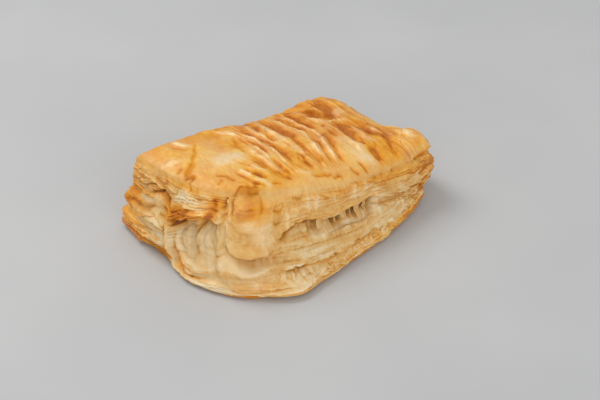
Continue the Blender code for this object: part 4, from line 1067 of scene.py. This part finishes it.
def side_relief(lap, row):
    """How far fine layers stand out of the sides, and their browning (partly painted shade in the gaps), glaze and
    cream.
    """
    length, height = unrolled(lap, row)
    warp_length = length + 0.8 * grain(lap, 3.0, height / 2.2, 40)
    warp_height = height + 0.35 * grain(lap, 2.6, height / 2.4, 39)
    gaps = brush(warp_length, warp_height, SIDE_GAPS, unrolled)
    folds = brush(warp_length, warp_height, SIDE_FOLDS, unrolled)
    calm = np.ones_like(length)
    for centre, half_lap, level, half_rows, share in CALM:
        calm = calm * (1.0 - share * spot(lap, centre, half_lap, row, level, half_rows))
    crumbly = np.zeros_like(length)
    for centre, half_lap, level, half_rows, share in CRUMBLY:
        crumbly = crumbly + share * spot(lap, centre, half_lap, row, level, half_rows)
    calm = calm * (1.0 - 0.4 * np.minimum(crumbly, 1.0))
    # Thin layers, which wander up and down, each with its own reach and tint, and a notch between each two.
    wander = grain(lap, 23.0, row / 6.0, 41) + 0.4 * grain(lap, 7.0, row / 3.5, 42)
    stack = row * LAYERS_PER_ROW + wander + 0.16 * grain(lap, 1.9, row / 2.0, 46)
    number = np.floor(stack)
    notch = np.clip(2.0 * np.abs(2.0 * (stack - number) - 1.0) - 1.0, 0.0, 1.0) ** 1.2
    notch = notch * calm * np.clip(0.40 + 1.3 * grain(lap, 8.0, np.round(stack) * 3.7, 45), 0.0, 1.0)
    step = 0.42 * grain(lap, 7.0, number * 5.3, 43) + 0.26 * grain(lap, 2.0, number * 3.1, 44)
    # Chips of the crumbly parts, with cracks between them.
    chip = grain(lap, 2.3, height / 1.5, 50) + 0.5 * grain(lap, 1.2, height / 0.9, 51)
    marks = add_up(
        SIDE_MARKS,
        notch=notch,
        torn=grain(lap, 0.9, height / 0.8, 47),
        chip=crumbly * chip,
        crack=crumbly * hump(chip, 0.0, 0.16),
        tint=grain(lap, 9.0, number * 2.9, 48) * (0.15 + 0.85 * calm),
        fleck=grain(lap, 2.0, height / 1.1, 49),
    )
    out = gaps[0] + folds[0] + step * calm - settings().layer_gap / MM * notch + marks[0]
    # The gaps' browning is partly painted shade in the gaps.
    brown = BROWNING + GAP_PAINTED_SHADE * gaps[1] + folds[1] + marks[1]
    glaze = SIDE_GLAZE + gaps[2] + folds[2] - DRIED_GLAZE * gaps[1] + marks[2]
    cream = SIDE_CREAM + marks[3]
    for centre, half_lap, level, half_rows, tan, pale in SIDE_TONES:
        place = spot(lap, centre, half_lap, row, level, half_rows)
        brown, cream = brown + tan * place, cream + pale * place
    return out, brown, glaze, cream


def rim_lift(row):
    """How far the base's rim lifts the layers next to it."""
    return RIM_LIFT * (1.0 - smooth(0.0, 3.0, row))


def dressed_side(lap, row):
    """The sides with their fine layers: place, way out, how far they stand out there, and their colours."""
    x, y, z, out_x, out_y, _ = side_place(lap, row, 0.0)
    relief, brown, glaze, cream = side_relief(lap, row)
    return (x, y, z), (out_x, out_y), relief + fill_out(lap, row), (brown, glaze, cream)


# ---------------------------------------------------------------------------------------------
# Materials.
# ---------------------------------------------------------------------------------------------

# How far the blisters make the browning lighter or darker.
PATCHINESS = 0.15


def linear(hex_colour):
    """An sRGB hex colour as the linear numbers that a shader takes."""
    channels = [int(hex_colour[i:i + 2], 16) / 255.0 for i in (1, 3, 5)]
    values = [c / 12.92 if c <= 0.04045 else ((c + 0.055) / 1.055) ** 2.4 for c in channels]
    return (*values, 1.0)


def add_node(tree, kind, links=None, stops=(), **values):
    """Add a node, link sockets into it, fill its colour ramp, and set its properties and inputs."""
    node = tree.nodes.new(kind)
    for number, (place, colour) in enumerate(stops):
        if number >= len(node.color_ramp.elements):
            node.color_ramp.elements.new(place)
        node.color_ramp.elements[number].position = place
        node.color_ramp.elements[number].color = getattr(settings(), colour)
    for key, value in values.items():
        if key in node.bl_rna.properties.keys():
            setattr(node, key, value)
        else:
            node.inputs[key.replace("_", " ")].default_value = value
    for key, source in (links or {}).items():
        tree.links.new(source, node.inputs[key])
    return node


# Which colour each amount of browning gives, from none to full.
CRUST_STOPS = (
    (0.0, "crust_pale"), (0.2, "crust_straw"), (0.4, "crust_gold"), (0.6, "crust_amber"), (0.8, "crust_toasted"),
    (0.92, "crust_dark"), (1.0, "crust_scorched"),
)
TORN_STOPS = (
    (0.0, "torn_pale"), (0.25, "torn_cream"), (0.45, "torn_tan"), (0.65, "torn_golden"), (0.85, "torn_shaded"),
    (1.0, "torn_deep_shade"),
)


def new_material(name):
    """A material with an empty node tree."""
    material = bpy.data.materials.new(name)
    material.use_nodes = True
    tree = material.node_tree
    tree.nodes.clear()
    return material, tree


def baked_dough(name):
    """Laminated dough baked in butter: pale where it tore, golden to brown where heat caught it."""
    material, tree = new_material(name)
    brown, glaze, cream = (
        add_node(tree, "ShaderNodeAttribute", attribute_name=layer).outputs["Fac"]
        for layer in ("brown", "glaze", "cream")
    )
    where = add_node(tree, "ShaderNodeTexCoord").outputs["Object"]
    # Blisters about 2 mm across and crumb about 0.5 mm across break the browning up and roughen the skin.
    blister = add_node(tree, "ShaderNodeTexNoise", {"Vector": where}, Scale=520.0, Detail=4.0, Roughness=0.62)
    crumb = add_node(tree, "ShaderNodeTexNoise", {"Vector": where}, Scale=2100.0, Detail=3.0, Roughness=0.6)
    patchy = add_node(
        tree, "ShaderNodeMapRange", {"Value": blister.outputs["Fac"]},
        To_Min=settings().browning - PATCHINESS, To_Max=settings().browning + PATCHINESS,
    )
    shade = add_node(tree, "ShaderNodeMath", {0: brown, 1: patchy.outputs["Result"]}, operation="ADD")
    # Skin that faced the heat turns orange as it browns. Torn dough inside stays cream and turns tan. The dark ends
    # of both ramps also give the painted shade in gaps, creases and the mouth.
    crust = add_node(tree, "ShaderNodeValToRGB", {"Fac": shade.outputs[0]}, stops=CRUST_STOPS)
    torn = add_node(tree, "ShaderNodeValToRGB", {"Fac": shade.outputs[0]}, stops=TORN_STOPS)
    dough = add_node(
        tree, "ShaderNodeMix", {0: cream, 6: crust.outputs["Color"], 7: torn.outputs["Color"]}, data_type="RGBA"
    )
    # Dried sugar glaze: a pale film over the dough, smooth enough to shine where it lies thick. On ridges and broad
    # patches its pale colour is partly painted highlight.
    wet = add_node(tree, "ShaderNodeMapRange", {"Value": glaze}, To_Min=0.0, To_Max=0.5)
    coated = add_node(tree, "ShaderNodeMix", {0: wet.outputs["Result"], 6: dough.outputs[2]}, data_type="RGBA")
    coated.inputs[7].default_value = settings().glaze_colour
    dull = add_node(tree, "ShaderNodeMapRange", {"Value": glaze}, To_Min=0.5, To_Max=0.26)
    film = add_node(tree, "ShaderNodeMapRange", {"Value": glaze}, To_Min=0.03, To_Max=0.65)
    relief = add_node(tree, "ShaderNodeMath", {0: crumb.outputs["Fac"], 1: blister.outputs["Fac"]}, operation="ADD")
    dent = add_node(tree, "ShaderNodeBump", {"Height": relief.outputs[0]}, Strength=0.25, Distance=0.0005)
    # Butter-soaked dough lets a little light through, reddest first.
    shader = add_node(
        tree, "ShaderNodeBsdfPrincipled",
        {"Base Color": coated.outputs[2], "Roughness": dull.outputs["Result"],
         "Coat Weight": film.outputs["Result"], "Normal": dent.outputs["Normal"]},
        Specular_IOR_Level=0.26, Subsurface_Weight=0.12, Subsurface_Scale=0.0012,
        Subsurface_Radius=(1.0, 0.55, 0.25), Coat_Roughness=0.28,
    )
    add_node(tree, "ShaderNodeOutputMaterial", {"Surface": shader.outputs["BSDF"]})
    return material


# ---------------------------------------------------------------------------------------------
# Settings, and the steps that make the pastry.
# ---------------------------------------------------------------------------------------------


def colour_setting(name, description, hex_colour):
    """A colour setting, given as it shows on a screen."""
    return FloatVectorProperty(
        name=name, description=description, default=linear(hex_colour), size=4, min=0.0, max=1.0, subtype="COLOR"
    )


class PastrySettings(bpy.types.PropertyGroup):
    """Sizes and colours of the pastry"""

    pleat_height: FloatProperty(
        name="Pleat Height", description="How far the strongest pleats of the top rise and dip",
        default=0.00135, min=0.0, max=0.004, unit="LENGTH",
    )
    layer_gap: FloatProperty(
        name="Layer Gap", description="Depth of the gaps between the thin layers of the sides",
        default=0.00085, min=0.0, max=0.002, unit="LENGTH",
    )
    mouth_depth: FloatProperty(
        name="Mouth Depth", description="How far the long side's opening goes in, as a share of the solid's own",
        default=1.0, min=0.0, max=1.2, subtype="FACTOR",
    )
    flake_reach: FloatProperty(
        name="Flake Reach", description="How far the loose flakes stand out, as a share of their usual reach",
        default=1.0, min=0.2, max=2.0, subtype="FACTOR",
    )
    browning: FloatProperty(
        name="Browning", description="Browning added everywhere, from paler to darker",
        default=0.0, min=-0.4, max=0.4, subtype="FACTOR",
    )
    crust_pale: colour_setting("Pale Crust", "Skin that the heat hardly touched", "#f2d09a")
    crust_straw: colour_setting("Straw Crust", "Skin of the pleats' crests", "#f2be5a")
    crust_gold: colour_setting("Golden Crust", "Most of the top's skin", "#e7a232")
    crust_amber: colour_setting("Amber Crust", "Skin beside the grooves", "#d98714")
    crust_toasted: colour_setting("Toasted Crust", "Skin in the grooves", "#bb6b02")
    crust_dark: colour_setting("Dark Crust", "Bottom of the deepest grooves", "#9f5502")
    crust_scorched: colour_setting("Scorched Crust", "Red line of the fold over the hollow", "#b4480a")
    torn_pale: colour_setting("Pale Dough", "Palest torn dough", "#eeddba")
    torn_cream: colour_setting("Cream Dough", "Torn dough of the hollow and round the mouth", "#e4c795")
    torn_tan: colour_setting("Tan Dough", "Layer edges", "#d9ae69")
    torn_golden: colour_setting("Golden Dough", "Layer edges that browned", "#c28d40")
    torn_shaded: colour_setting("Shaded Dough", "Gaps between layers", "#936c35")
    # The darkest torn dough is painted shade at the back of the mouth.
    torn_deep_shade: colour_setting("Dark Dough", "Back of the mouth", "#6b5230")
    glaze_colour: colour_setting("Glaze", "Dried sugar glaze", "#f1cf9f")
    board_colour: colour_setting("Board", "Board that the pastry stands on", "#bdbfc3")
    board_mottle: colour_setting("Board Mottle", "Faint cloudiness of the board", "#c3c5c8")
    cells_long: IntProperty(name="Cells Along", description="Faces along the top's length", default=336, min=40)
    cells_wide: IntProperty(name="Cells Across", description="Faces across the top", default=130, min=24)
    cells_up: IntProperty(name="Cells Up", description="Faces up the crust's side", default=48, min=10)
    cells_below: IntProperty(name="Cells Below", description="Faces up the lower layers", default=92, min=10)


class PASTRY_OT_crust(bpy.types.Operator):
    """Make the pleated top crust and the band of layers that hangs from it"""

    bl_idname = "pastry.crust"
    bl_label = "Top Crust"

    def execute(self, context):
        crust = weld("top_crust", [self.top(), self.band(), self.roof()])
        close_holes(crust)
        finish_piece(crust, baked_dough("golden_crust"))
        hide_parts(NODE)
        return {"FINISHED"}

    def top(self):
        """The pleated skin of the top."""
        top, u, v = patch("top", settings().cells_long, settings().cells_wide)
        a, b = 2.0 * u - 1.0, 2.0 * v - 1.0
        x, y = plan(a, b, np.ones_like(a))
        rise, brown, glaze = top_relief(x, y)
        place_points(top, x, y, rolled_top(a, b, x, y) + rise)
        edge = np.maximum(np.abs(a), np.abs(b))
        paint(top, brown=brown, glaze=glaze, cream=EDGE_CREAM * smooth(0.93, 1.0, edge))
        return top

    def band(self):
        """The layers from the top's edge down to the mouth's upper lip."""
        band, lap, v = ring("band", settings().cells_up)
        lip = along(lap, LIP, 1)
        row = lip + (CELLS_HIGH - lip) * v
        (x, y, z), (out_x, out_y), relief, (brown, glaze, cream) = dressed_side(lap, row)
        relief = relief * smooth(CELLS_HIGH, CELLS_HIGH - 0.8, row)
        x, y = x + relief * out_x, y + relief * out_y
        # The top's relief and colours run on down over the edge.
        edge_x, edge_y = plan(*square(lap), np.ones_like(lap))
        drop = ROW_HEIGHT * (CELLS_HIGH - row)
        rise, top_brown, top_glaze = top_relief(edge_x + drop * out_x, edge_y + drop * out_y)
        near_top = smooth(CELLS_HIGH - 1.6, CELLS_HIGH, row)
        place_points(band, x, y, z + rise * near_top)
        brown = brown + (top_brown - brown) * near_top
        glaze = glaze + (top_glaze - glaze) * near_top
        paint(band, brown=brown, glaze=glaze, cream=cream * (1.0 - near_top) + EDGE_CREAM * near_top)
        return band

    def roof(self):
        """The roof of the mouth, which reaches in from the lip."""
        roof, lap, v = ring("roof", 6)
        (x, y, z), (out_x, out_y), relief, (brown, glaze, cream) = dressed_side(lap, along(lap, LIP, 1))
        inward = 1.0 - v
        reach = relief - ROOF_DEPTH * inward
        place_points(roof, x + reach * out_x, y + reach * out_y, z + ROOF_RISE * inward)
        # Painted shade darkens the roof as it reaches in under the lip.
        paint(roof, brown=brown + ROOF_PAINTED_SHADE * inward, glaze=glaze * 0.0, cream=cream)
        return roof


class PASTRY_OT_lower_layers(bpy.types.Operator):
    """Make the layers under the mouth, down to the flat base"""

    bl_idname = "pastry.lower_layers"
    bl_label = "Lower Layers"

    def execute(self, context):
        lower = weld("lower_layers", [self.side(), self.base()])
        close_holes(lower)
        finish_piece(lower, baked_dough("pale_layers"))
        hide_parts(NODE)
        return {"FINISHED"}

    def side(self):
        """The sides from the base's rim up past the mouth, with the torn dough inside it."""
        side, lap, v = ring("side", settings().cells_below)
        row = LOWER_TOP_ROW * v
        (x, y, z), (out_x, out_y), relief, (brown, glaze, cream) = dressed_side(lap, row)
        # The mouth goes in as far as the solid's, with upright fibres of crumb in its pockets.
        depth = settings().mouth_depth * along(lap, MOUTH, 2) * along(lap, POCKETS, 1)
        gape = 1.2 + 0.7 * hump(lap, *MOUTH_GAPE)
        opening = hump(np.clip(MOUTH_ROW - row, 0.0, None), 0.0, gape)
        recess = depth * opening
        fibre = grain(lap, 0.9, row / 3.3, 86) * opening * smooth(1.0, 4.0, depth)
        # The layers slip behind the upper lip.
        lip = along(lap, LIP, 1)
        tuck = 0.06 * smooth(lip - 0.8, lip - 0.3, row) + TUCK * smooth(lip + 0.4, lip + 0.9, row)
        relief = (relief - recess - tuck + FIBRE_RISE * fibre) * smooth(0.0, 0.8, row)
        place_points(side, x + relief * out_x, y + relief * out_y, z + rim_lift(row))
        # Painted shade browns the mouth as it goes deeper.
        brown = brown + MOUTH_PAINTED_SHADE * smooth(1.0, 5.5, recess) - FIBRE_PALENESS * fibre
        paint(side, brown=brown, glaze=glaze, cream=cream + MOUTH_CREAM * smooth(0.5, 3.0, recess))
        return side

    def base(self):
        """The flat underside, whose rim curls up to meet the sides."""
        base, lap, v = ring("base", 4)
        a, b = square(lap)
        shrink = FLAT_SHARE + (1.0 - FLAT_SHARE) * v
        x, y = plan(a * shrink, b * shrink, 0.0 * a)
        edge_x, edge_y = side_place(lap, 0.0 * lap)[:2]
        x, y = np.where(v > 0.999, edge_x, x), np.where(v > 0.999, edge_y, y)
        place_points(base, x, y, RIM_LIFT * smooth(FLAT_SHARE, 1.0, shrink))
        brown = UNDERSIDE_BROWNING + 0.1 * waves(x, y, 6.0, 6.0, 85)
        paint(base, brown=brown, glaze=0.0 * x, cream=0.0 * x)
        return base


class PASTRY_OT_flakes(bpy.types.Operator):
    """Make the thin flakes that peel from the layers and the torn dough that hangs in the mouth"""

    bl_idname = "pastry.flakes"
    bl_label = "Flakes"

    def execute(self, context):
        flakes = [thin_sheet(number, *row) for number, row in enumerate(FLAKES)]
        # The strands count on from 100, so that their waves differ from the flakes'.
        flakes += [thin_sheet(number, *row) for number, row in enumerate(STRANDS, 100)]
        loose = weld("loose_flakes", flakes)
        finish_piece(loose, baked_dough("crisp_flakes"))
        return {"FINISHED"}


def thin_sheet(number, reach, thickness, tilt, tan, pale, points, sink=SHEET_SINK, rag=SHEET_RAG):
    """A thin closed sheet that stands out from the side along a line of laps and rows."""
    line = curve(points, SHEET_STEPS)
    last = len(line) - 1
    sheet, u, v = patch("flake", last, SHEET_ROUND)

    def spot_at(step):
        """Lap and row of a step along the line."""
        return (np.interp(step, np.arange(last + 1), column) for column in line.T)

    step = u * last
    lap, row = spot_at(step)
    row = np.clip(row, 0.0, CELLS_HIGH)
    (x, y, z), (out_x, out_y), bulge, _ = dressed_side(lap, row)
    root = np.stack((x + (bulge - sink) * out_x, y + (bulge - sink) * out_y, z + rim_lift(row)))
    # The line's own direction, taken along each row of the sheet.
    ahead, behind = (side_place(*spot_at(np.clip(step + way, 0.0, last)), 0.0)[:3] for way in (1.0, -1.0))
    out = np.stack((out_x, out_y, tilt * np.ones_like(u)))
    across = np.cross(np.stack(ahead) - np.stack(behind), out, axis=0)
    across = across / np.linalg.norm(across, axis=0)
    # A ragged outer edge, an inner edge sunk in the dough, and a point at each end.
    turn = 2.0 * np.pi * v
    seed = 200 + number
    ragged = 1.0 + rag * (0.8 * grain(lap, 2.6, row, seed) + 0.35 * grain(lap, 0.8, row, seed))
    taper = np.sqrt(np.clip(np.sin(np.pi * u), 0.0, 1.0))
    half = 0.5 * (settings().flake_reach * reach * ragged + SHEET_ROOT) * taper
    thin = 0.5 * thickness * taper * (1.0 - 0.55 * np.cos(turn))
    wave = 0.35 * grain(lap, 4.0, row, seed + 40) * (1.0 + np.cos(turn)) * taper
    outer = half - SHEET_ROOT * taper + half * np.cos(turn)
    place_points(sheet, *(root + out * outer + across * (thin * np.sin(turn) + wave)))
    edge = 0.5 + 0.5 * np.cos(turn)
    fleck = grain(lap, 2.0, v * 3.0, seed + 80)
    paint(sheet, brown=tan + 0.18 * edge**2 + 0.10 * fleck, glaze=0.15 + 0.1 * fleck, cream=pale + 0.0 * u)
    return sheet


class PASTRY_OT_stage(bpy.types.Operator):
    """Set the floor, the soft studio light and the camera"""

    bl_idname = "pastry.stage"
    bl_label = "Stage"

    # Where the camera looks from, its distance in mm from the point on the table that it aims at, and its lens in mm.
    ELEVATION = math.radians(35.2)
    TURN = math.radians(38.0)
    ROLL = math.radians(1.77)
    DISTANCE = 738.0
    AIM_RIGHT = 2.6
    AIM_AWAY = 17.0
    LENS = 108.0
    FILM_WIDTH = 36.0

    # The floor's width in metres, and the even light from all round.
    FLOOR_WIDTH = 6.0
    SKY_COLOUR = (1.0, 0.985, 0.95, 1.0)
    SKY_STRENGTH = 0.56

    # Soft boxes, as (name, metres right of the pastry, away and up, width, power, colour).
    LAMPS = (
        ("key", -0.55, 0.35, 0.95, 0.60, 5.4, (1.0, 0.975, 0.94)),
        ("fill", 0.25, -0.95, 0.45, 0.9, 4.2, (1.0, 0.99, 0.97)),
    )

    def execute(self, context):
        right = Vector((math.cos(self.TURN), -math.sin(self.TURN), 0.0))
        away = Vector((math.sin(self.TURN), math.cos(self.TURN), 0.0))
        aim = self.AIM_RIGHT * right + self.AIM_AWAY * away - Vector((CENTRE[0], CENTRE[1], 0.0))
        look = math.cos(self.ELEVATION) * away - math.sin(self.ELEVATION) * Vector((0.0, 0.0, 1.0))
        up = math.sin(self.ELEVATION) * away + math.cos(self.ELEVATION) * Vector((0.0, 0.0, 1.0))
        data = bpy.data.cameras.new("camera")
        data.lens = self.LENS
        data.sensor_width = self.FILM_WIDTH
        data.clip_start = 0.01
        camera = bpy.data.objects.new("camera", data)
        bpy.context.scene.collection.objects.link(camera)
        turn = Matrix((right, up, -look)).transposed().to_4x4()
        roll = Matrix.Rotation(self.ROLL, 4, "Z")
        camera.matrix_world = Matrix.Translation((aim - self.DISTANCE * look) * MM) @ turn @ roll.inverted()
        bpy.context.scene.camera = camera

        bpy.ops.object.select_all(action="DESELECT")
        bpy.ops.mesh.primitive_plane_add(size=self.FLOOR_WIDTH)
        floor = bpy.context.object
        floor.name = "floor"
        material, tree = new_material("pale_board")
        where = add_node(tree, "ShaderNodeTexCoord").outputs["Object"]
        mottle = add_node(tree, "ShaderNodeTexNoise", {"Vector": where}, Scale=9.0, Detail=3.0)
        # Matt pale board with the faintest mottle, so that the pastry's shadow reads on it.
        stops = ((0.35, "board_colour"), (0.65, "board_mottle"))
        tone = add_node(tree, "ShaderNodeValToRGB", {"Fac": mottle.outputs["Fac"]}, stops=stops)
        shader = add_node(tree, "ShaderNodeBsdfPrincipled", {"Base Color": tone.outputs["Color"]}, Roughness=0.6)
        add_node(tree, "ShaderNodeOutputMaterial", {"Surface": shader.outputs["BSDF"]})
        floor.data.materials.append(material)

        world = bpy.data.worlds.new("studio")
        bpy.context.scene.world = world
        world.use_nodes = True
        background = world.node_tree.nodes["Background"]
        background.inputs["Color"].default_value = self.SKY_COLOUR
        background.inputs["Strength"].default_value = self.SKY_STRENGTH
        for name, to_right, to_back, height, size, power, colour in self.LAMPS:
            self.lamp(name, to_right * right + to_back * away, height, size, power, colour)
        bpy.context.scene.view_settings.view_transform = "Standard"
        return {"FINISHED"}

    def lamp(self, name, way, height, size, power, colour):
        """A square soft box that looks at the pastry."""
        data = bpy.data.lights.new(name, "AREA")
        data.size = size
        data.energy = power
        data.color = colour
        lamp = bpy.data.objects.new(name, data)
        place = Vector((way.x, way.y, height))
        lamp.location = place
        lamp.rotation_euler = (-place).to_track_quat("-Z", "Y").to_euler()
        bpy.context.scene.collection.objects.link(lamp)


class PASTRY_PT_panel(bpy.types.Panel):
    """Lists the pastry's settings and the steps that make it"""

    bl_label = "Toaster Pastry"
    bl_idname = "PASTRY_PT_panel"
    bl_space_type = "VIEW_3D"
    bl_region_type = "UI"
    bl_category = "Pastry"

    def draw(self, context):
        column = self.layout.column()
        for name in PastrySettings.__annotations__:
            column.prop(context.scene.toaster_pastry, name)
        for step in STEPS:
            column.operator(step.bl_idname)


STEPS = (PASTRY_OT_crust, PASTRY_OT_lower_layers, PASTRY_OT_flakes, PASTRY_OT_stage)
CLASSES = (PastrySettings, *STEPS, PASTRY_PT_panel)


def register():
    for cls in CLASSES:
        bpy.utils.register_class(cls)
    bpy.types.Scene.toaster_pastry = PointerProperty(type=PastrySettings)


def unregister():
    del bpy.types.Scene.toaster_pastry
    for cls in reversed(CLASSES):
        bpy.utils.unregister_class(cls)


def main():
    register()
    bpy.ops.pastry.crust()
    bpy.ops.pastry.lower_layers()
    bpy.ops.pastry.flakes()
    bpy.ops.pastry.stage()


if __name__ == "__main__":
    main()
